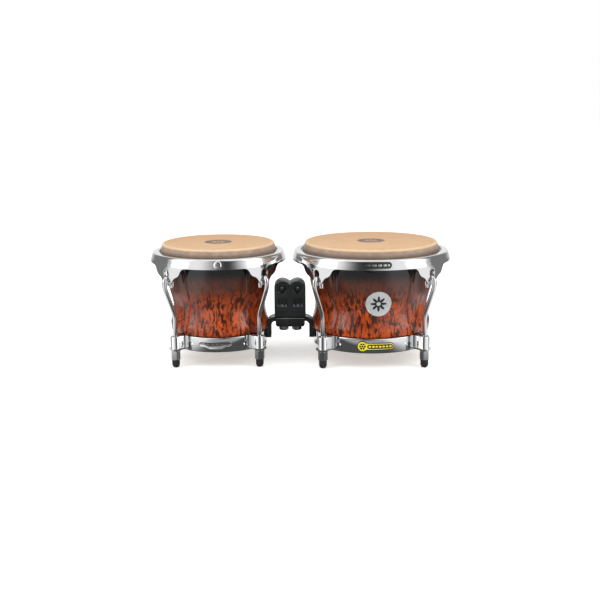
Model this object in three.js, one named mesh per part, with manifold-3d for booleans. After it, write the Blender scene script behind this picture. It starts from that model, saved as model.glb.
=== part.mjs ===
// A pair of bongo drums: two turned wooden shells side by side on a shared steel and plastic
// centre block, each with a natural skin head, a pressed chrome rim, four J-hooks and a base band.
//
// Millimetres, +Z up. The floor is z = 0 and the origin is under the middle of the whole object.
// The drums stand side by side along X, and the player's side is -Y.
// Bearings are degrees round a drum's own axis: 0 faces -Y and 90 faces +X.

import * as THREE from 'three';
import { mergeVertices } from 'three/addons/utils/BufferGeometryUtils.js';
import Module from 'manifold-3d';

const wasm = await Module();
wasm.setup();

// ---------------------------------------------------------------- driving dimensions

const DRUMS = [
  { name: 'macho', headRadius: 85.75, rimReach: 19.65, hookInset: 14.4 },
  { name: 'hembra', headRadius: 101.6, rimReach: 21.3, hookInset: 13.5 },
];
const RIM_GAP = 10.2;
const CLEARANCE = 0.3;
const HOOK_BEARINGS = { front_left: -45, front_right: 45, back_right: 135, back_left: -135 };
const ROUND_STEPS = 40;
const SMALL_STEPS = 12;
const ARC_STEPS = 4;
const BADGE_STEPS = 12;
const PROFILE_STEPS = 8;

// Heights above the floor.
const HEAD_TOP = 185;
const RIM_TOP = 172.8;
const RIM_CUT_HEIGHT = 157.8;
const LOBE_TIP_HEIGHT = 128.7;
const BAND_BOTTOM = 25;
const BAND_HEIGHT = 23;

const SKIN = { thickness: 1.8, fold: 2.2, collarSpread: 4.6, collarBottom: 158 };
const SHELL_WALL = 9.5;
const SHELL_EDGE_CHAMFER = 2.5;
// The shell's outer profile: inset from the head radius, and height above the floor.
const SHELL_PROFILE = [[0, 178], [2.8, 150], [6.9, 119], [12.2, 98], [13.8, 87], [12.2, 74], [9.1, 61], [9.7, 53]];
const WAIST = 4;
const BAND_INSET = 11.2;
const BAND_WALL = 2.5;

const RIM = { wall: 3, lipWidth: 10.5, shoulder: 4, flare: 2.5, lobeTuck: 2 };
// Half of a lobe's outline: half-width, and height above the lobe's tip.
const LOBE_OUTLINE = [
  [38, 29.1], [33, 28.2], [29, 24.8], [26.2, 19.6], [22.5, 15.9], [18, 13.9],
  [14.3, 11.3], [11, 6.9], [7.5, 2.9], [3.8, 0.7], [0, 0],
];
const SLOT = { width: 10, bottom: 8.3, top: 25.3 };
const HOOP = { wall: 5.2, height: 7 };

const HOOK = { radius: 3.5, bottom: 17, kneeHeight: 82, elbowHeight: 127, turnRadius: 7.5, tipLength: 9 };
const HOOK_SIDES = 8;
const HOOK_STEPS = 24;

const TIP = { height: 12, topRadius: 6, flatRadius: 3.4 };
const NUT = { acrossFlats: 13, height: 14.2 };
const WASHER = { radius: 8.6, thickness: 1.6 };
const BRACKET = { outerRadius: 7.5, wall: 2.6, height: 20.3, flange: 5.5, lip: 3, lipThickness: 2 };

const BLOCK = { width: 49, depth: 30, bottom: 66.9, height: 58.3, notch: 5 };
const ROUND_RECESS = { radius: 6.4, depth: 6, height: 44.7, pinRadius: 3, pinDrop: 2.5 };
const SQUARE_RECESS = { width: 14.4, height: 13.4, depth: 4, centre: 23.4 };
const ARM = { thickness: 6.6, bendRadius: 13.5, depth: 27, bottom: 34 };
const CLAMP = { width: 45.8, floor: 8, lip: 2.6, lipHeight: 5.4, taper: 2.2 };
const BOLT = { acrossFlats: 13, headHeight: 7.6, shankRadius: 4, spacing: 20.4, length: 34 };

const BADGE = { radius: 19.5, thickness: 1.2, bearing: 3.9, height: 102 };
const BAND_PLATE = { thickness: 1, height: 37.6, bearing: -2.4, width: 51, endHeight: 7.8, belly: 3.4 };
const BAND_LABEL = { thickness: 1, height: 36.2, bearing: 1.5, width: 57, discRadius: 8.5, barHeight: 11.2 };

// ---------------------------------------------------------------- sizes worked out from those

const FULL_TURN = Math.PI * 2;
const OVERALL_WIDTH = DRUMS.reduce((sum, drum) => sum + 2 * (drum.headRadius + drum.rimReach), RIM_GAP);
const BAND_TOP = BAND_BOTTOM + BAND_HEIGHT;
const SHELL_TOP = HEAD_TOP - SKIN.thickness - CLEARANCE;
const NUT_BOTTOM = TIP.height + CLEARANCE;
const WASHER_BOTTOM = NUT_BOTTOM + NUT.height + CLEARANCE;
const BRACKET_BOTTOM = WASHER_BOTTOM + WASHER.thickness + CLEARANCE;
const HOOK_TURN_HEIGHT = LOBE_TIP_HEIGHT + SLOT.bottom + HOOK.radius - HOOK.turnRadius + 3 * CLEARANCE;

DRUMS.forEach((drum, index) => {
  drum.rimRadius = drum.headRadius + drum.rimReach;
  drum.bandRadius = drum.headRadius - BAND_INSET;
  drum.legRadius = drum.rimRadius - drum.hookInset;
  drum.x = (index === 0 ? -1 : 1) * (OVERALL_WIDTH / 2 - drum.rimRadius);
});
const [MACHO, HEMBRA] = DRUMS;
const BLOCK_X = (MACHO.x + MACHO.bandRadius + HEMBRA.x - HEMBRA.bandRadius) / 2;

// ---------------------------------------------------------------- finishes

function finish(color, roughness, metalness) {
  return new THREE.MeshStandardMaterial({ color, roughness, metalness });
}

const FINISH = {
  wood: finish(0xb04a18, 0.15, 0),
  skin: finish(0xdeb482, 0.6, 0),
  chrome: finish(0xd8dadc, 0.06, 1),
  steel: finish(0xb8babc, 0.3, 1),
  rubber: finish(0x101012, 0.7, 0),
  plastic: finish(0x15191a, 0.4, 0),
  blackMetal: finish(0x0c0d0f, 0.35, 0.4),
  badge: finish(0xc4c8c8, 0.35, 1),
  yellow: finish(0xd8cc20, 0.4, 0),
};

// ---------------------------------------------------------------- shape helpers

function radians(degrees) {
  return THREE.MathUtils.degToRad(degrees);
}

function signedVolume(geometry) {
  const position = geometry.attributes.position;
  const index = geometry.index.array;
  const [a, b, c] = [new THREE.Vector3(), new THREE.Vector3(), new THREE.Vector3()];
  let volume = 0;
  for (let i = 0; i < index.length; i += 3) {
    a.fromBufferAttribute(position, index[i]);
    b.fromBufferAttribute(position, index[i + 1]);
    c.fromBufferAttribute(position, index[i + 2]);
    volume += a.dot(b.cross(c)) / 6;
  }
  return volume;
}

// One closed body: shared vertices merged, slivers dropped and every face pointing out.
function closed(geometry) {
  const bare = geometry.clone();
  bare.deleteAttribute('normal');
  bare.deleteAttribute('uv');
  const merged = mergeVertices(bare, 1e-3);
  const kept = [];
  const flip = signedVolume(merged) < 0;
  const index = merged.index.array;
  for (let i = 0; i < index.length; i += 3) {
    const [a, b, c] = [index[i], index[i + 1], index[i + 2]];
    if (a !== b && b !== c && a !== c) kept.push(a, flip ? c : b, flip ? b : c);
  }
  merged.setIndex(kept);
  return merged;
}

function solid(geometry) {
  const body = closed(geometry);
  const vertProperties = new Float32Array(body.attributes.position.array);
  const triVerts = new Uint32Array(body.index.array);
  return new wasm.Manifold(new wasm.Mesh({ numProp: 3, vertProperties, triVerts }));
}

function geometryOf(manifold) {
  const mesh = manifold.getMesh();
  const geometry = new THREE.BufferGeometry();
  geometry.setAttribute('position', new THREE.BufferAttribute(mesh.vertProperties, 3));
  geometry.setIndex(new THREE.BufferAttribute(mesh.triVerts, 1));
  return geometry;
}

// A profile of [radius, height] pairs turned round the Z axis.
function turned(profile, steps = ROUND_STEPS) {
  const points = profile.map(([radius, height]) => new THREE.Vector2(radius, height));
  return closed(new THREE.LatheGeometry(points, steps).rotateX(Math.PI / 2));
}

function ring(innerRadius, outerRadius, bottom, top, steps = ROUND_STEPS) {
  const corners = [[innerRadius, bottom], [outerRadius, bottom], [outerRadius, top], [innerRadius, top]];
  return turned([...corners, corners[0]], steps);
}

function drumBand(radius, wall, bottom, top) {
  return ring(radius, radius + wall, bottom, top);
}

function polygon(corners) {
  return new THREE.Shape(corners.map(([x, y]) => new THREE.Vector2(x, y)));
}

function circle(radius) {
  return new THREE.Shape().absarc(0, 0, radius, 0, FULL_TURN);
}

function hexagon(acrossFlats) {
  const corner = acrossFlats / Math.sqrt(3);
  const corners = Array.from({ length: 6 }, (_, i) => i * FULL_TURN / 6);
  return polygon(corners.map((angle) => [corner * Math.cos(angle), corner * Math.sin(angle)]));
}

// A plan outline raised from one height to another.
function raised(shape, bottom, top, curveSegments = ARC_STEPS) {
  const options = { depth: top - bottom, bevelEnabled: false, curveSegments };
  return new THREE.ExtrudeGeometry(shape, options).translate(0, 0, bottom);
}

function rod(radius, bottom, top, steps = ARC_STEPS) {
  return raised(circle(radius), bottom, top, steps);
}

// An outline drawn in X and Z, run from one depth to another along Y.
function run(shape, front, back, curveSegments = ARC_STEPS) {
  const options = { depth: back - front, bevelEnabled: false, curveSegments };
  return new THREE.ExtrudeGeometry(shape, options).rotateX(Math.PI / 2).translate(0, back, 0);
}

// An outline drawn in X and Z and pushed out of the drum's axis towards a bearing.
function radialPrism(shape, bearing, reach) {
  return solid(run(shape, -reach, 0).rotateZ(radians(bearing)));
}

// ---------------------------------------------------------------- shell, head and band

function shellOutline(drum) {
  const bandSeat = drum.bandRadius - BAND_WALL - CLEARANCE;
  const curved = SHELL_PROFILE.map(([inset, z]) => new THREE.Vector2(drum.headRadius - inset, z));
  const body = new THREE.SplineCurve(curved).getPoints(PROFILE_STEPS);
  const outside = body.map((point) => [point.x, point.y]);
  return [
    [drum.headRadius - SHELL_EDGE_CHAMFER, SHELL_TOP],
    ...outside,
    [bandSeat, BAND_TOP + CLEARANCE],
    [bandSeat, BAND_BOTTOM],
  ];
}

function shell(drum) {
  const outside = shellOutline(drum);
  const foot = drum.bandRadius - BAND_WALL - SHELL_WALL;
  const waist = drum.headRadius - SHELL_PROFILE[WAIST][0] - SHELL_WALL;
  const mouth = drum.headRadius - SHELL_WALL;
  return turned([
    ...outside,
    [foot, BAND_BOTTOM],
    [foot, BAND_TOP],
    [waist, SHELL_PROFILE[WAIST][1]],
    [mouth, SHELL_PROFILE[0][1]],
    [mouth, SHELL_TOP],
    outside[0],
  ]);
}

function headSkin(drum) {
  const fold = drum.headRadius + SKIN.fold;
  const collar = drum.headRadius + SKIN.collarSpread;
  const foldDrop = 3;
  const t = SKIN.thickness;
  return turned([
    [0, HEAD_TOP],
    [drum.headRadius - 1.2, HEAD_TOP],
    [fold - 1.1, HEAD_TOP - 0.8],
    [fold, HEAD_TOP - foldDrop],
    [collar, RIM_TOP],
    [collar, SKIN.collarBottom],
    [collar - t, SKIN.collarBottom],
    [collar - t, RIM_TOP],
    [fold - t, HEAD_TOP - foldDrop],
    [drum.headRadius - 1.2, HEAD_TOP - t],
    [0, HEAD_TOP - t],
  ]);
}

function fleshHoop(drum) {
  const inner = drum.headRadius + SKIN.collarSpread + CLEARANCE;
  const top = RIM_TOP - RIM.wall - CLEARANCE;
  return ring(inner, inner + HOOP.wall, top - HOOP.height, top);
}

// Everything that a neighbour of the shell and its band has to keep out of.
function shellAndBandSpace(drum) {
  const grown = shellOutline(drum).map(([radius, z]) => [radius + 2 * CLEARANCE, z]);
  const space = solid(turned([[0, SHELL_TOP], ...grown, [0, BAND_BOTTOM]]));
  const bandRadius = drum.bandRadius + CLEARANCE;
  return space.add(solid(turned([[0, BAND_TOP], [bandRadius, BAND_TOP], [bandRadius, 0], [0, 0]])));
}

function baseBand(drum) {
  return drumBand(drum.bandRadius - BAND_WALL, BAND_WALL, BAND_BOTTOM, BAND_TOP);
}

// ---------------------------------------------------------------- pressed rim with four lobes

function lobeShape() {
  const half = LOBE_OUTLINE.map(([x, z]) => new THREE.Vector2(x, LOBE_TIP_HEIGHT + z));
  const right = new THREE.SplineCurve(half).getPoints(LOBE_OUTLINE.length);
  const left = right.slice(0, -1).map((point) => new THREE.Vector2(-point.x, point.y)).reverse();
  const above = RIM_TOP;
  const top = [new THREE.Vector2(-half[0].x, above), new THREE.Vector2(half[0].x, above)];
  return new THREE.Shape([...right, ...left, ...top]);
}

function slotShape() {
  const half = SLOT.width / 2;
  const bottom = LOBE_TIP_HEIGHT + SLOT.bottom;
  const shape = new THREE.Shape().moveTo(-half, bottom).lineTo(half, bottom);
  return shape.absarc(0, LOBE_TIP_HEIGHT + SLOT.top - half, half, 0, Math.PI);
}

function rimSection(drum) {
  const top = drum.rimRadius - RIM.flare;
  const low = drum.rimRadius - RIM.lobeTuck;
  const { wall, shoulder } = RIM;
  const outer = [];
  const inner = [];
  const arcSteps = 2;
  for (let i = 0; i <= arcSteps; i += 1) {
    const angle = Math.PI / 2 * (1 - i / arcSteps);
    const place = (radius) => [
      top - shoulder + radius * Math.cos(angle),
      RIM_TOP - shoulder + radius * Math.sin(angle),
    ];
    outer.push(place(shoulder));
    inner.unshift(place(shoulder - wall));
  }
  const lip = top - RIM.lipWidth;
  const section = [
    [lip, RIM_TOP],
    ...outer,
    [drum.rimRadius, RIM_CUT_HEIGHT],
    [low, LOBE_TIP_HEIGHT - 1],
    [low - wall, LOBE_TIP_HEIGHT - 1],
    [drum.rimRadius - wall, RIM_CUT_HEIGHT],
    ...inner,
    [lip, RIM_TOP - wall],
  ];
  return [...section, section[0]];
}

function rim(drum) {
  const reach = drum.rimRadius + RIM.wall;
  const bearings = Object.values(HOOK_BEARINGS);
  const lobes = bearings.map((bearing) => radialPrism(lobeShape(), bearing, reach));
  const slots = bearings.map((bearing) => radialPrism(slotShape(), bearing, reach));
  const innerReach = drum.headRadius;
  let waste = solid(ring(innerReach, reach, LOBE_TIP_HEIGHT - 2, RIM_CUT_HEIGHT));
  for (const lobe of lobes) waste = waste.subtract(lobe);
  let body = solid(turned(rimSection(drum))).subtract(waste);
  for (const slot of slots) body = body.subtract(slot);
  return geometryOf(body);
}

// ---------------------------------------------------------------- hooks and what is on them

// Every hook's rod lies in the plane of its bearing: X is outwards here, and Z is up.
function hookRoute(drum) {
  const wallMiddle = drum.rimRadius - RIM.lobeTuck - RIM.wall / 2;
  const outer = wallMiddle + HOOK.turnRadius;
  const inner = wallMiddle - HOOK.turnRadius;
  const leg = drum.legRadius;
  const kneeReach = 8;
  const slope = (outer - leg) / (HOOK.elbowHeight - HOOK.kneeHeight);
  const route = new THREE.Path().moveTo(leg, HOOK.bottom);
  route.lineTo(leg, HOOK.kneeHeight - kneeReach);
  route.quadraticCurveTo(leg, HOOK.kneeHeight, leg + slope * kneeReach, HOOK.kneeHeight + kneeReach);
  route.lineTo(outer - slope * kneeReach, HOOK.elbowHeight - kneeReach);
  route.quadraticCurveTo(outer, HOOK.elbowHeight, outer, HOOK_TURN_HEIGHT);
  route.absarc(wallMiddle, HOOK_TURN_HEIGHT, HOOK.turnRadius, 0, Math.PI);
  route.lineTo(inner, HOOK_TURN_HEIGHT - HOOK.tipLength);
  return route.getSpacedPoints(HOOK_STEPS).map((point) => new THREE.Vector3(point.x, 0, point.y));
}

function hook(drum) {
  const path = new THREE.CatmullRomCurve3(hookRoute(drum));
  const section = circle(HOOK.radius);
  const options = { extrudePath: path, steps: HOOK_STEPS, curveSegments: HOOK_SIDES / 2 };
  return closed(new THREE.ExtrudeGeometry(section, { ...options, bevelEnabled: false }));
}

function legParts(drum) {
  const leg = drum.legRadius;
  const hole = HOOK.radius + CLEARANCE;
  const bracketHole = HOOK.radius + 2 * CLEARANCE;
  const bandFace = shellAndBandSpace(drum);
  const nutBlank = solid(raised(hexagon(NUT.acrossFlats), NUT_BOTTOM, NUT_BOTTOM + NUT.height));
  const nut = nutBlank.subtract(solid(rod(hole, 0, HEAD_TOP)));
  return {
    bracket: geometryOf(bracket(drum, bandFace, bracketHole)),
    washer: washer(hole).translate(leg, 0, 0),
    nut: geometryOf(nut).translate(leg, 0, 0),
    tip: footTip().translate(leg, 0, 0),
    hook: hook(drum),
  };
}

function washer(hole) {
  return ring(hole, WASHER.radius, WASHER_BOTTOM, WASHER_BOTTOM + WASHER.thickness, SMALL_STEPS);
}

// A pressed channel that wraps the rod, with a flange each side on the band and a lip below.
function channelShape(leg, start, radius) {
  const shape = new THREE.Shape().moveTo(start, -radius).lineTo(leg, -radius);
  shape.absarc(leg, 0, radius, -Math.PI / 2, Math.PI / 2);
  return shape.lineTo(start, radius);
}

function bracket(drum, bandFace, hole) {
  const leg = drum.legRadius;
  const start = drum.bandRadius - BRACKET.wall;
  const top = BRACKET_BOTTOM + BRACKET.height;
  const lipTop = BRACKET_BOTTOM + BRACKET.lipThickness;
  const innerRadius = BRACKET.outerRadius - BRACKET.wall;
  const walls = solid(raised(channelShape(leg, start, BRACKET.outerRadius), BRACKET_BOTTOM, top));
  const hollow = solid(raised(channelShape(leg, start - 1, innerRadius), lipTop, top + 1));
  const lip = solid(raised(channelShape(leg, start, BRACKET.outerRadius + BRACKET.lip), BRACKET_BOTTOM, lipTop));
  const half = BRACKET.outerRadius + BRACKET.flange;
  const nearBand = polygon([[start, -half], [leg, -half], [leg, half], [start, half]]);
  const flangeRing = solid(drumBand(drum.bandRadius, BRACKET.wall, BRACKET_BOTTOM, top));
  const flanges = flangeRing.intersect(solid(raised(nearBand, BRACKET_BOTTOM, top)));
  const bore = solid(rod(hole, 0, HEAD_TOP).translate(leg, 0, 0));
  return walls.add(lip).add(flanges).subtract(hollow).subtract(bore).subtract(bandFace);
}

function footTip() {
  const { height, topRadius, flatRadius } = TIP;
  const roundStart = topRadius - flatRadius;
  return turned([
    [0, height],
    [topRadius - 0.4, height],
    [topRadius, height - 0.8],
    [topRadius - 0.3, roundStart],
    [topRadius - 1.1, roundStart * 0.35],
    [flatRadius, 0],
    [0, 0],
  ], SMALL_STEPS);
}

// ---------------------------------------------------------------- centre block and its mounting

function blockShape() {
  const half = BLOCK.width / 2;
  const archRadius = half / 2;
  const top = BLOCK.bottom + BLOCK.height;
  const innerRadius = (archRadius ** 2 + BLOCK.notch ** 2) / (2 * BLOCK.notch);
  const innerSweep = Math.asin(archRadius / innerRadius);
  const shape = new THREE.Shape().moveTo(-half, BLOCK.bottom).lineTo(half, BLOCK.bottom);
  shape.absarc(archRadius, top - archRadius, archRadius, 0, Math.PI / 2);
  shape.absarc(archRadius, top - innerRadius, innerRadius, Math.PI / 2, Math.PI / 2 + innerSweep);
  shape.absarc(-archRadius, top - innerRadius, innerRadius, Math.PI / 2 - innerSweep, Math.PI / 2);
  return shape.absarc(-archRadius, top - archRadius, archRadius, Math.PI / 2, Math.PI);
}

function recessTool(front, facing) {
  const quarter = BLOCK.width / 4;
  const half = SQUARE_RECESS.width / 2;
  const low = BLOCK.bottom + SQUARE_RECESS.centre - SQUARE_RECESS.height / 2;
  const between = (near, far) => [front + facing * near, front + facing * far].sort((a, b) => a - b);
  const tools = [];
  for (const side of [-1, 1]) {
    const round = run(circle(ROUND_RECESS.radius), ...between(0, ROUND_RECESS.depth));
    const pin = run(circle(ROUND_RECESS.pinRadius), ...between(ROUND_RECESS.pinDrop, ROUND_RECESS.depth));
    const up = BLOCK.bottom + ROUND_RECESS.height;
    tools.push(solid(round).subtract(solid(pin)).translate([side * quarter, 0, up]));
    const window = polygon([[-half, 0], [half, 0], [half, SQUARE_RECESS.height], [-half, SQUARE_RECESS.height]]);
    tools.push(solid(run(window, ...between(0, SQUARE_RECESS.depth))).translate([side * quarter, 0, low]));
  }
  return tools;
}

function centreBlock() {
  const half = BLOCK.depth / 2;
  let body = solid(run(blockShape(), -half, half));
  for (const tool of recessTool(-half, 1)) body = body.subtract(tool);
  for (const tool of recessTool(half, -1)) body = body.subtract(tool);
  return geometryOf(body.subtract(boltHoles())).translate(BLOCK_X, 0, 0);
}

function boltXs() {
  return [-BOLT.spacing / 2, BOLT.spacing / 2];
}

function clampBottom() {
  return BLOCK.bottom - 2 * CLEARANCE - ARM.thickness - CLAMP.floor;
}

function boltHoles() {
  const tools = boltXs().map((x) => solid(rod(BOLT.shankRadius + CLEARANCE, 0, boltTop() + 1).translate(x, 0, 0)));
  return tools[0].add(tools[1]);
}

function boltTop() {
  return clampBottom() + BOLT.length;
}

function bolt(x) {
  const under = clampBottom() - CLEARANCE;
  const head = solid(raised(hexagon(BOLT.acrossFlats), under - BOLT.headHeight, under));
  const shank = solid(rod(BOLT.shankRadius, under - 1, boltTop()));
  return geometryOf(head.add(shank)).translate(BLOCK_X + x, 0, 0);
}

// side is -1 for the arm that holds the macho's band and 1 for the hembra's.
function arm(drum, side) {
  const reach = Math.abs(drum.x - BLOCK_X) - drum.bandRadius - CLEARANCE;
  const sagitta = drum.bandRadius - Math.sqrt(drum.bandRadius ** 2 - (ARM.depth / 2) ** 2);
  const outer = reach + sagitta;
  const top = BLOCK.bottom - CLEARANCE;
  const { thickness, bendRadius, bottom } = ARM;
  const innerX = reach - thickness;
  const innerRadius = bendRadius - thickness;
  const shape = new THREE.Shape().moveTo(CLEARANCE, top).lineTo(outer - bendRadius, top);
  shape.absarc(outer - bendRadius, top - bendRadius, bendRadius, Math.PI / 2, 0, true);
  shape.lineTo(outer, bottom).lineTo(innerX, bottom);
  shape.lineTo(innerX, top - bendRadius);
  shape.absarc(innerX - innerRadius, top - bendRadius, innerRadius, 0, Math.PI / 2);
  shape.lineTo(CLEARANCE, top - thickness);
  let body = solid(run(shape, -ARM.depth / 2, ARM.depth / 2));
  if (side < 0) body = body.rotate([0, 0, 180]);
  const bandFace = shellAndBandSpace(drum).translate([drum.x - BLOCK_X, 0, 0]);
  return geometryOf(body.subtract(bandFace).subtract(boltHoles())).translate(BLOCK_X, 0, 0);
}

function clampPlate() {
  const half = CLAMP.width / 2;
  const low = clampBottom();
  const floorTop = low + CLAMP.floor;
  const lipTop = floorTop + CLAMP.lipHeight;
  const halfDepth = ARM.depth / 2 + CLEARANCE;
  const taperTop = low + 1.6 * CLAMP.taper;
  const outline = polygon([
    [-half + CLAMP.taper, low], [half - CLAMP.taper, low], [half, taperTop],
    [half, lipTop], [-half, lipTop], [-half, taperTop],
  ]);
  const channel = polygon([[-half - 1, floorTop], [half + 1, floorTop], [half + 1, lipTop + 1], [-half - 1, lipTop + 1]]);
  const full = solid(run(outline, -halfDepth - CLAMP.lip, halfDepth + CLAMP.lip));
  const bed = solid(run(channel, -halfDepth, halfDepth));
  return geometryOf(full.subtract(bed).subtract(boltHoles())).translate(BLOCK_X, 0, 0);
}

// ---------------------------------------------------------------- badge and plates

// A thin piece that follows the band's curve, cut to an outline drawn in X and Z.
function bandPiece(drum, shape, thickness, bearing) {
  const inner = drum.bandRadius + CLEARANCE;
  const skinOfBand = solid(drumBand(inner, thickness, BAND_BOTTOM, BAND_TOP));
  return geometryOf(skinOfBand.intersect(radialPrism(shape, bearing, inner + 2 * thickness)));
}

function platedShape() {
  const half = BAND_PLATE.width / 2;
  const end = BAND_PLATE.endHeight / 2;
  const z = BAND_PLATE.height;
  const shape = new THREE.Shape().moveTo(half - end, z + end).lineTo(end - half, z + end);
  shape.absarc(end - half, z, end, Math.PI / 2, Math.PI * 1.5);
  shape.lineTo(-half * 0.65, z - end).lineTo(-half * 0.35, z - end - BAND_PLATE.belly);
  shape.lineTo(half * 0.35, z - end - BAND_PLATE.belly).lineTo(half * 0.65, z - end);
  return shape.absarc(half - end, z, end, -Math.PI / 2, Math.PI / 2);
}

function labelShape() {
  const half = BAND_LABEL.width / 2;
  const { discRadius, barHeight, height } = BAND_LABEL;
  const bar = barHeight / 2;
  const discX = discRadius - half;
  const meet = Math.asin(bar / discRadius);
  const shape = new THREE.Shape().moveTo(half - bar, height + bar);
  shape.absarc(discX, height, discRadius, meet, FULL_TURN - meet);
  return shape.absarc(half - bar, height, bar, -Math.PI / 2, Math.PI / 2);
}

function shellBadge(drum) {
  const outside = shellOutline(drum).slice(1, -2);
  const near = outside.map(([radius, z]) => [radius + CLEARANCE, z]);
  const far = outside.map(([radius, z]) => [radius + CLEARANCE + BADGE.thickness, z]).reverse();
  const sleeve = solid(turned([...near, ...far, near[0]]));
  const disc = run(circle(BADGE.radius), -drum.rimRadius, 0, BADGE_STEPS);
  const prism = solid(disc.translate(0, 0, BADGE.height).rotateZ(radians(BADGE.bearing)));
  return geometryOf(sleeve.intersect(prism));
}

// ---------------------------------------------------------------- assembly

const bongos = new THREE.Group();

function addMesh(parent, name, geometry, material) {
  const mesh = new THREE.Mesh(geometry, material);
  mesh.name = name;
  parent.add(mesh);
}

for (const drum of DRUMS) {
  const stand = new THREE.Group();
  stand.position.x = drum.x;
  bongos.add(stand);
  addMesh(stand, `${drum.name}_shell`, shell(drum), FINISH.wood);
  addMesh(stand, `${drum.name}_head_skin`, headSkin(drum), FINISH.skin);
  addMesh(stand, `${drum.name}_flesh_hoop`, fleshHoop(drum), FINISH.steel);
  addMesh(stand, `${drum.name}_rim`, rim(drum), FINISH.chrome);
  addMesh(stand, `${drum.name}_base_band`, baseBand(drum), FINISH.chrome);
  const parts = legParts(drum);
  for (const [corner, bearing] of Object.entries(HOOK_BEARINGS)) {
    const spoke = new THREE.Group();
    spoke.rotation.z = radians(bearing - 90);
    stand.add(spoke);
    addMesh(spoke, `${drum.name}_hook_${corner}`, parts.hook, FINISH.chrome);
    addMesh(spoke, `${drum.name}_bracket_${corner}`, parts.bracket, FINISH.chrome);
    addMesh(spoke, `${drum.name}_washer_${corner}`, parts.washer, FINISH.chrome);
    addMesh(spoke, `${drum.name}_nut_${corner}`, parts.nut, FINISH.chrome);
    addMesh(spoke, `${drum.name}_foot_tip_${corner}`, parts.tip, FINISH.rubber);
  }
}

const machoStand = bongos.children[0];
const hembraStand = bongos.children[1];
const plate = bandPiece(MACHO, platedShape(), BAND_PLATE.thickness, BAND_PLATE.bearing);
const label = bandPiece(HEMBRA, labelShape(), BAND_LABEL.thickness, BAND_LABEL.bearing);
addMesh(machoStand, 'macho_band_plate', plate, FINISH.chrome);
addMesh(hembraStand, 'hembra_band_label', label, FINISH.yellow);
addMesh(hembraStand, 'hembra_shell_badge', shellBadge(HEMBRA), FINISH.badge);

addMesh(bongos, 'centre_block', centreBlock(), FINISH.plastic);
addMesh(bongos, 'macho_block_arm', arm(MACHO, -1), FINISH.blackMetal);
addMesh(bongos, 'hembra_block_arm', arm(HEMBRA, 1), FINISH.blackMetal);
addMesh(bongos, 'block_clamp_plate', clampPlate(), FINISH.blackMetal);
boltXs().forEach((x, index) => {
  addMesh(bongos, `block_bolt_${['left', 'right'][index]}`, bolt(x), FINISH.blackMetal);
});

export default bongos;
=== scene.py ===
"""A pair of bongo drums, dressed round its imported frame: shells, hide heads, chrome and fittings."""

import math
from contextlib import contextmanager

import bmesh
import bpy
import numpy as np
from mathutils import Matrix, Vector


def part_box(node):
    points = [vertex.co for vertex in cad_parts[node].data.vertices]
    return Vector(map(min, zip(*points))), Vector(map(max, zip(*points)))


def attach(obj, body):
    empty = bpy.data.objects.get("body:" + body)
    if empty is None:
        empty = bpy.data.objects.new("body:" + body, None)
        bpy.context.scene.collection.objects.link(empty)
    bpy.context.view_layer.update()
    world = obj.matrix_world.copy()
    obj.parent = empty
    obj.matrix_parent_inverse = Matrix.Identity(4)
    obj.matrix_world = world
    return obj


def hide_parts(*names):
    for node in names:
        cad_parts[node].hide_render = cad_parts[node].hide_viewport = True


bl_info = {
    "name": "Bongo Drums",
    "version": (1, 0, 0),
    "blender": (4, 5, 0),
    "location": "3D View > Sidebar > Bongos",
    "description": "Builds the shells, heads, chrome and fittings of a pair of bongo drums",
    "category": "Add Mesh",
}

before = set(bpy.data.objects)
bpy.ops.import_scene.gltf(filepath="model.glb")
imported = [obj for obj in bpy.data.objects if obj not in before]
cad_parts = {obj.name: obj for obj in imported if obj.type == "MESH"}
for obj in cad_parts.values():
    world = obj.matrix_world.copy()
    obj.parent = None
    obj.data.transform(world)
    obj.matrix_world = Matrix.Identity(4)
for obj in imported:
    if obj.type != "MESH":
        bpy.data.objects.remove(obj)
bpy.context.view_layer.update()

MM = 0.001
GAP = 0.3 * MM  # left between pieces that touch
CORNERS = {"front_left": -45, "front_right": 45, "back_right": 135, "back_left": -135}


# ---------------- places read from the frame


class Drum:
    """One drum's places and radii, in metres, measured on its own frame nodes."""

    def __init__(self, name):
        self.name = name
        self.rim_set = self.part("rim_set")
        self.rim_bottom, self.rim_top = self.heights("rim")
        self.shell_bottom, self.shell_top = self.heights("shell")
        self.band_bottom, self.band_top = self.heights("base_band")
        self.skin_bottom, self.head_top = self.heights("head_skin")
        self.head_radius = self.half_width("shell")
        self.rim_radius = self.half_width("rim")
        self.band_radius = self.half_width("base_band")
        self.collar_radius = self.half_width("head_skin")
        low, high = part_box(self.part("rim"))
        self.x = (low.x + high.x) / 2
        low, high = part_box(self.part("foot_tip_front_right"))
        self.leg_radius = math.hypot((low.x + high.x) / 2 - self.x, (low.y + high.y) / 2)

    def part(self, name):
        return f"{self.name}_{name}"

    def heights(self, part):
        low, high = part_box(self.part(part))
        return low.z, high.z

    def half_width(self, part):
        low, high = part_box(self.part(part))
        return (high.x - low.x) / 2

    def nodes(self, part):
        return [self.part(f"{part}_{corner}") for corner in CORNERS]


MACHO = Drum("macho")
HEMBRA = Drum("hembra")
DRUMS = (MACHO, HEMBRA)
BLOCK_LOW, BLOCK_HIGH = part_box("centre_block")
CLAMP_LOW, CLAMP_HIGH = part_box("block_clamp_plate")
BLOCK_X = (BLOCK_LOW.x + BLOCK_HIGH.x) / 2


# ---------------- settings a user would change


def number(name, description, default, **limits):
    return bpy.props.FloatProperty(name=name, description=description, default=default, **limits)


def length(name, description, default):
    return number(name, description, default, min=0, unit="LENGTH", precision=4)


def angle(name, description, default):
    return number(name, description, default, unit="ROTATION")


def colour(name, description, default):
    return bpy.props.FloatVectorProperty(
        name=name, description=description, default=default, size=3, min=0, max=1, subtype="COLOR"
    )


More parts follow.
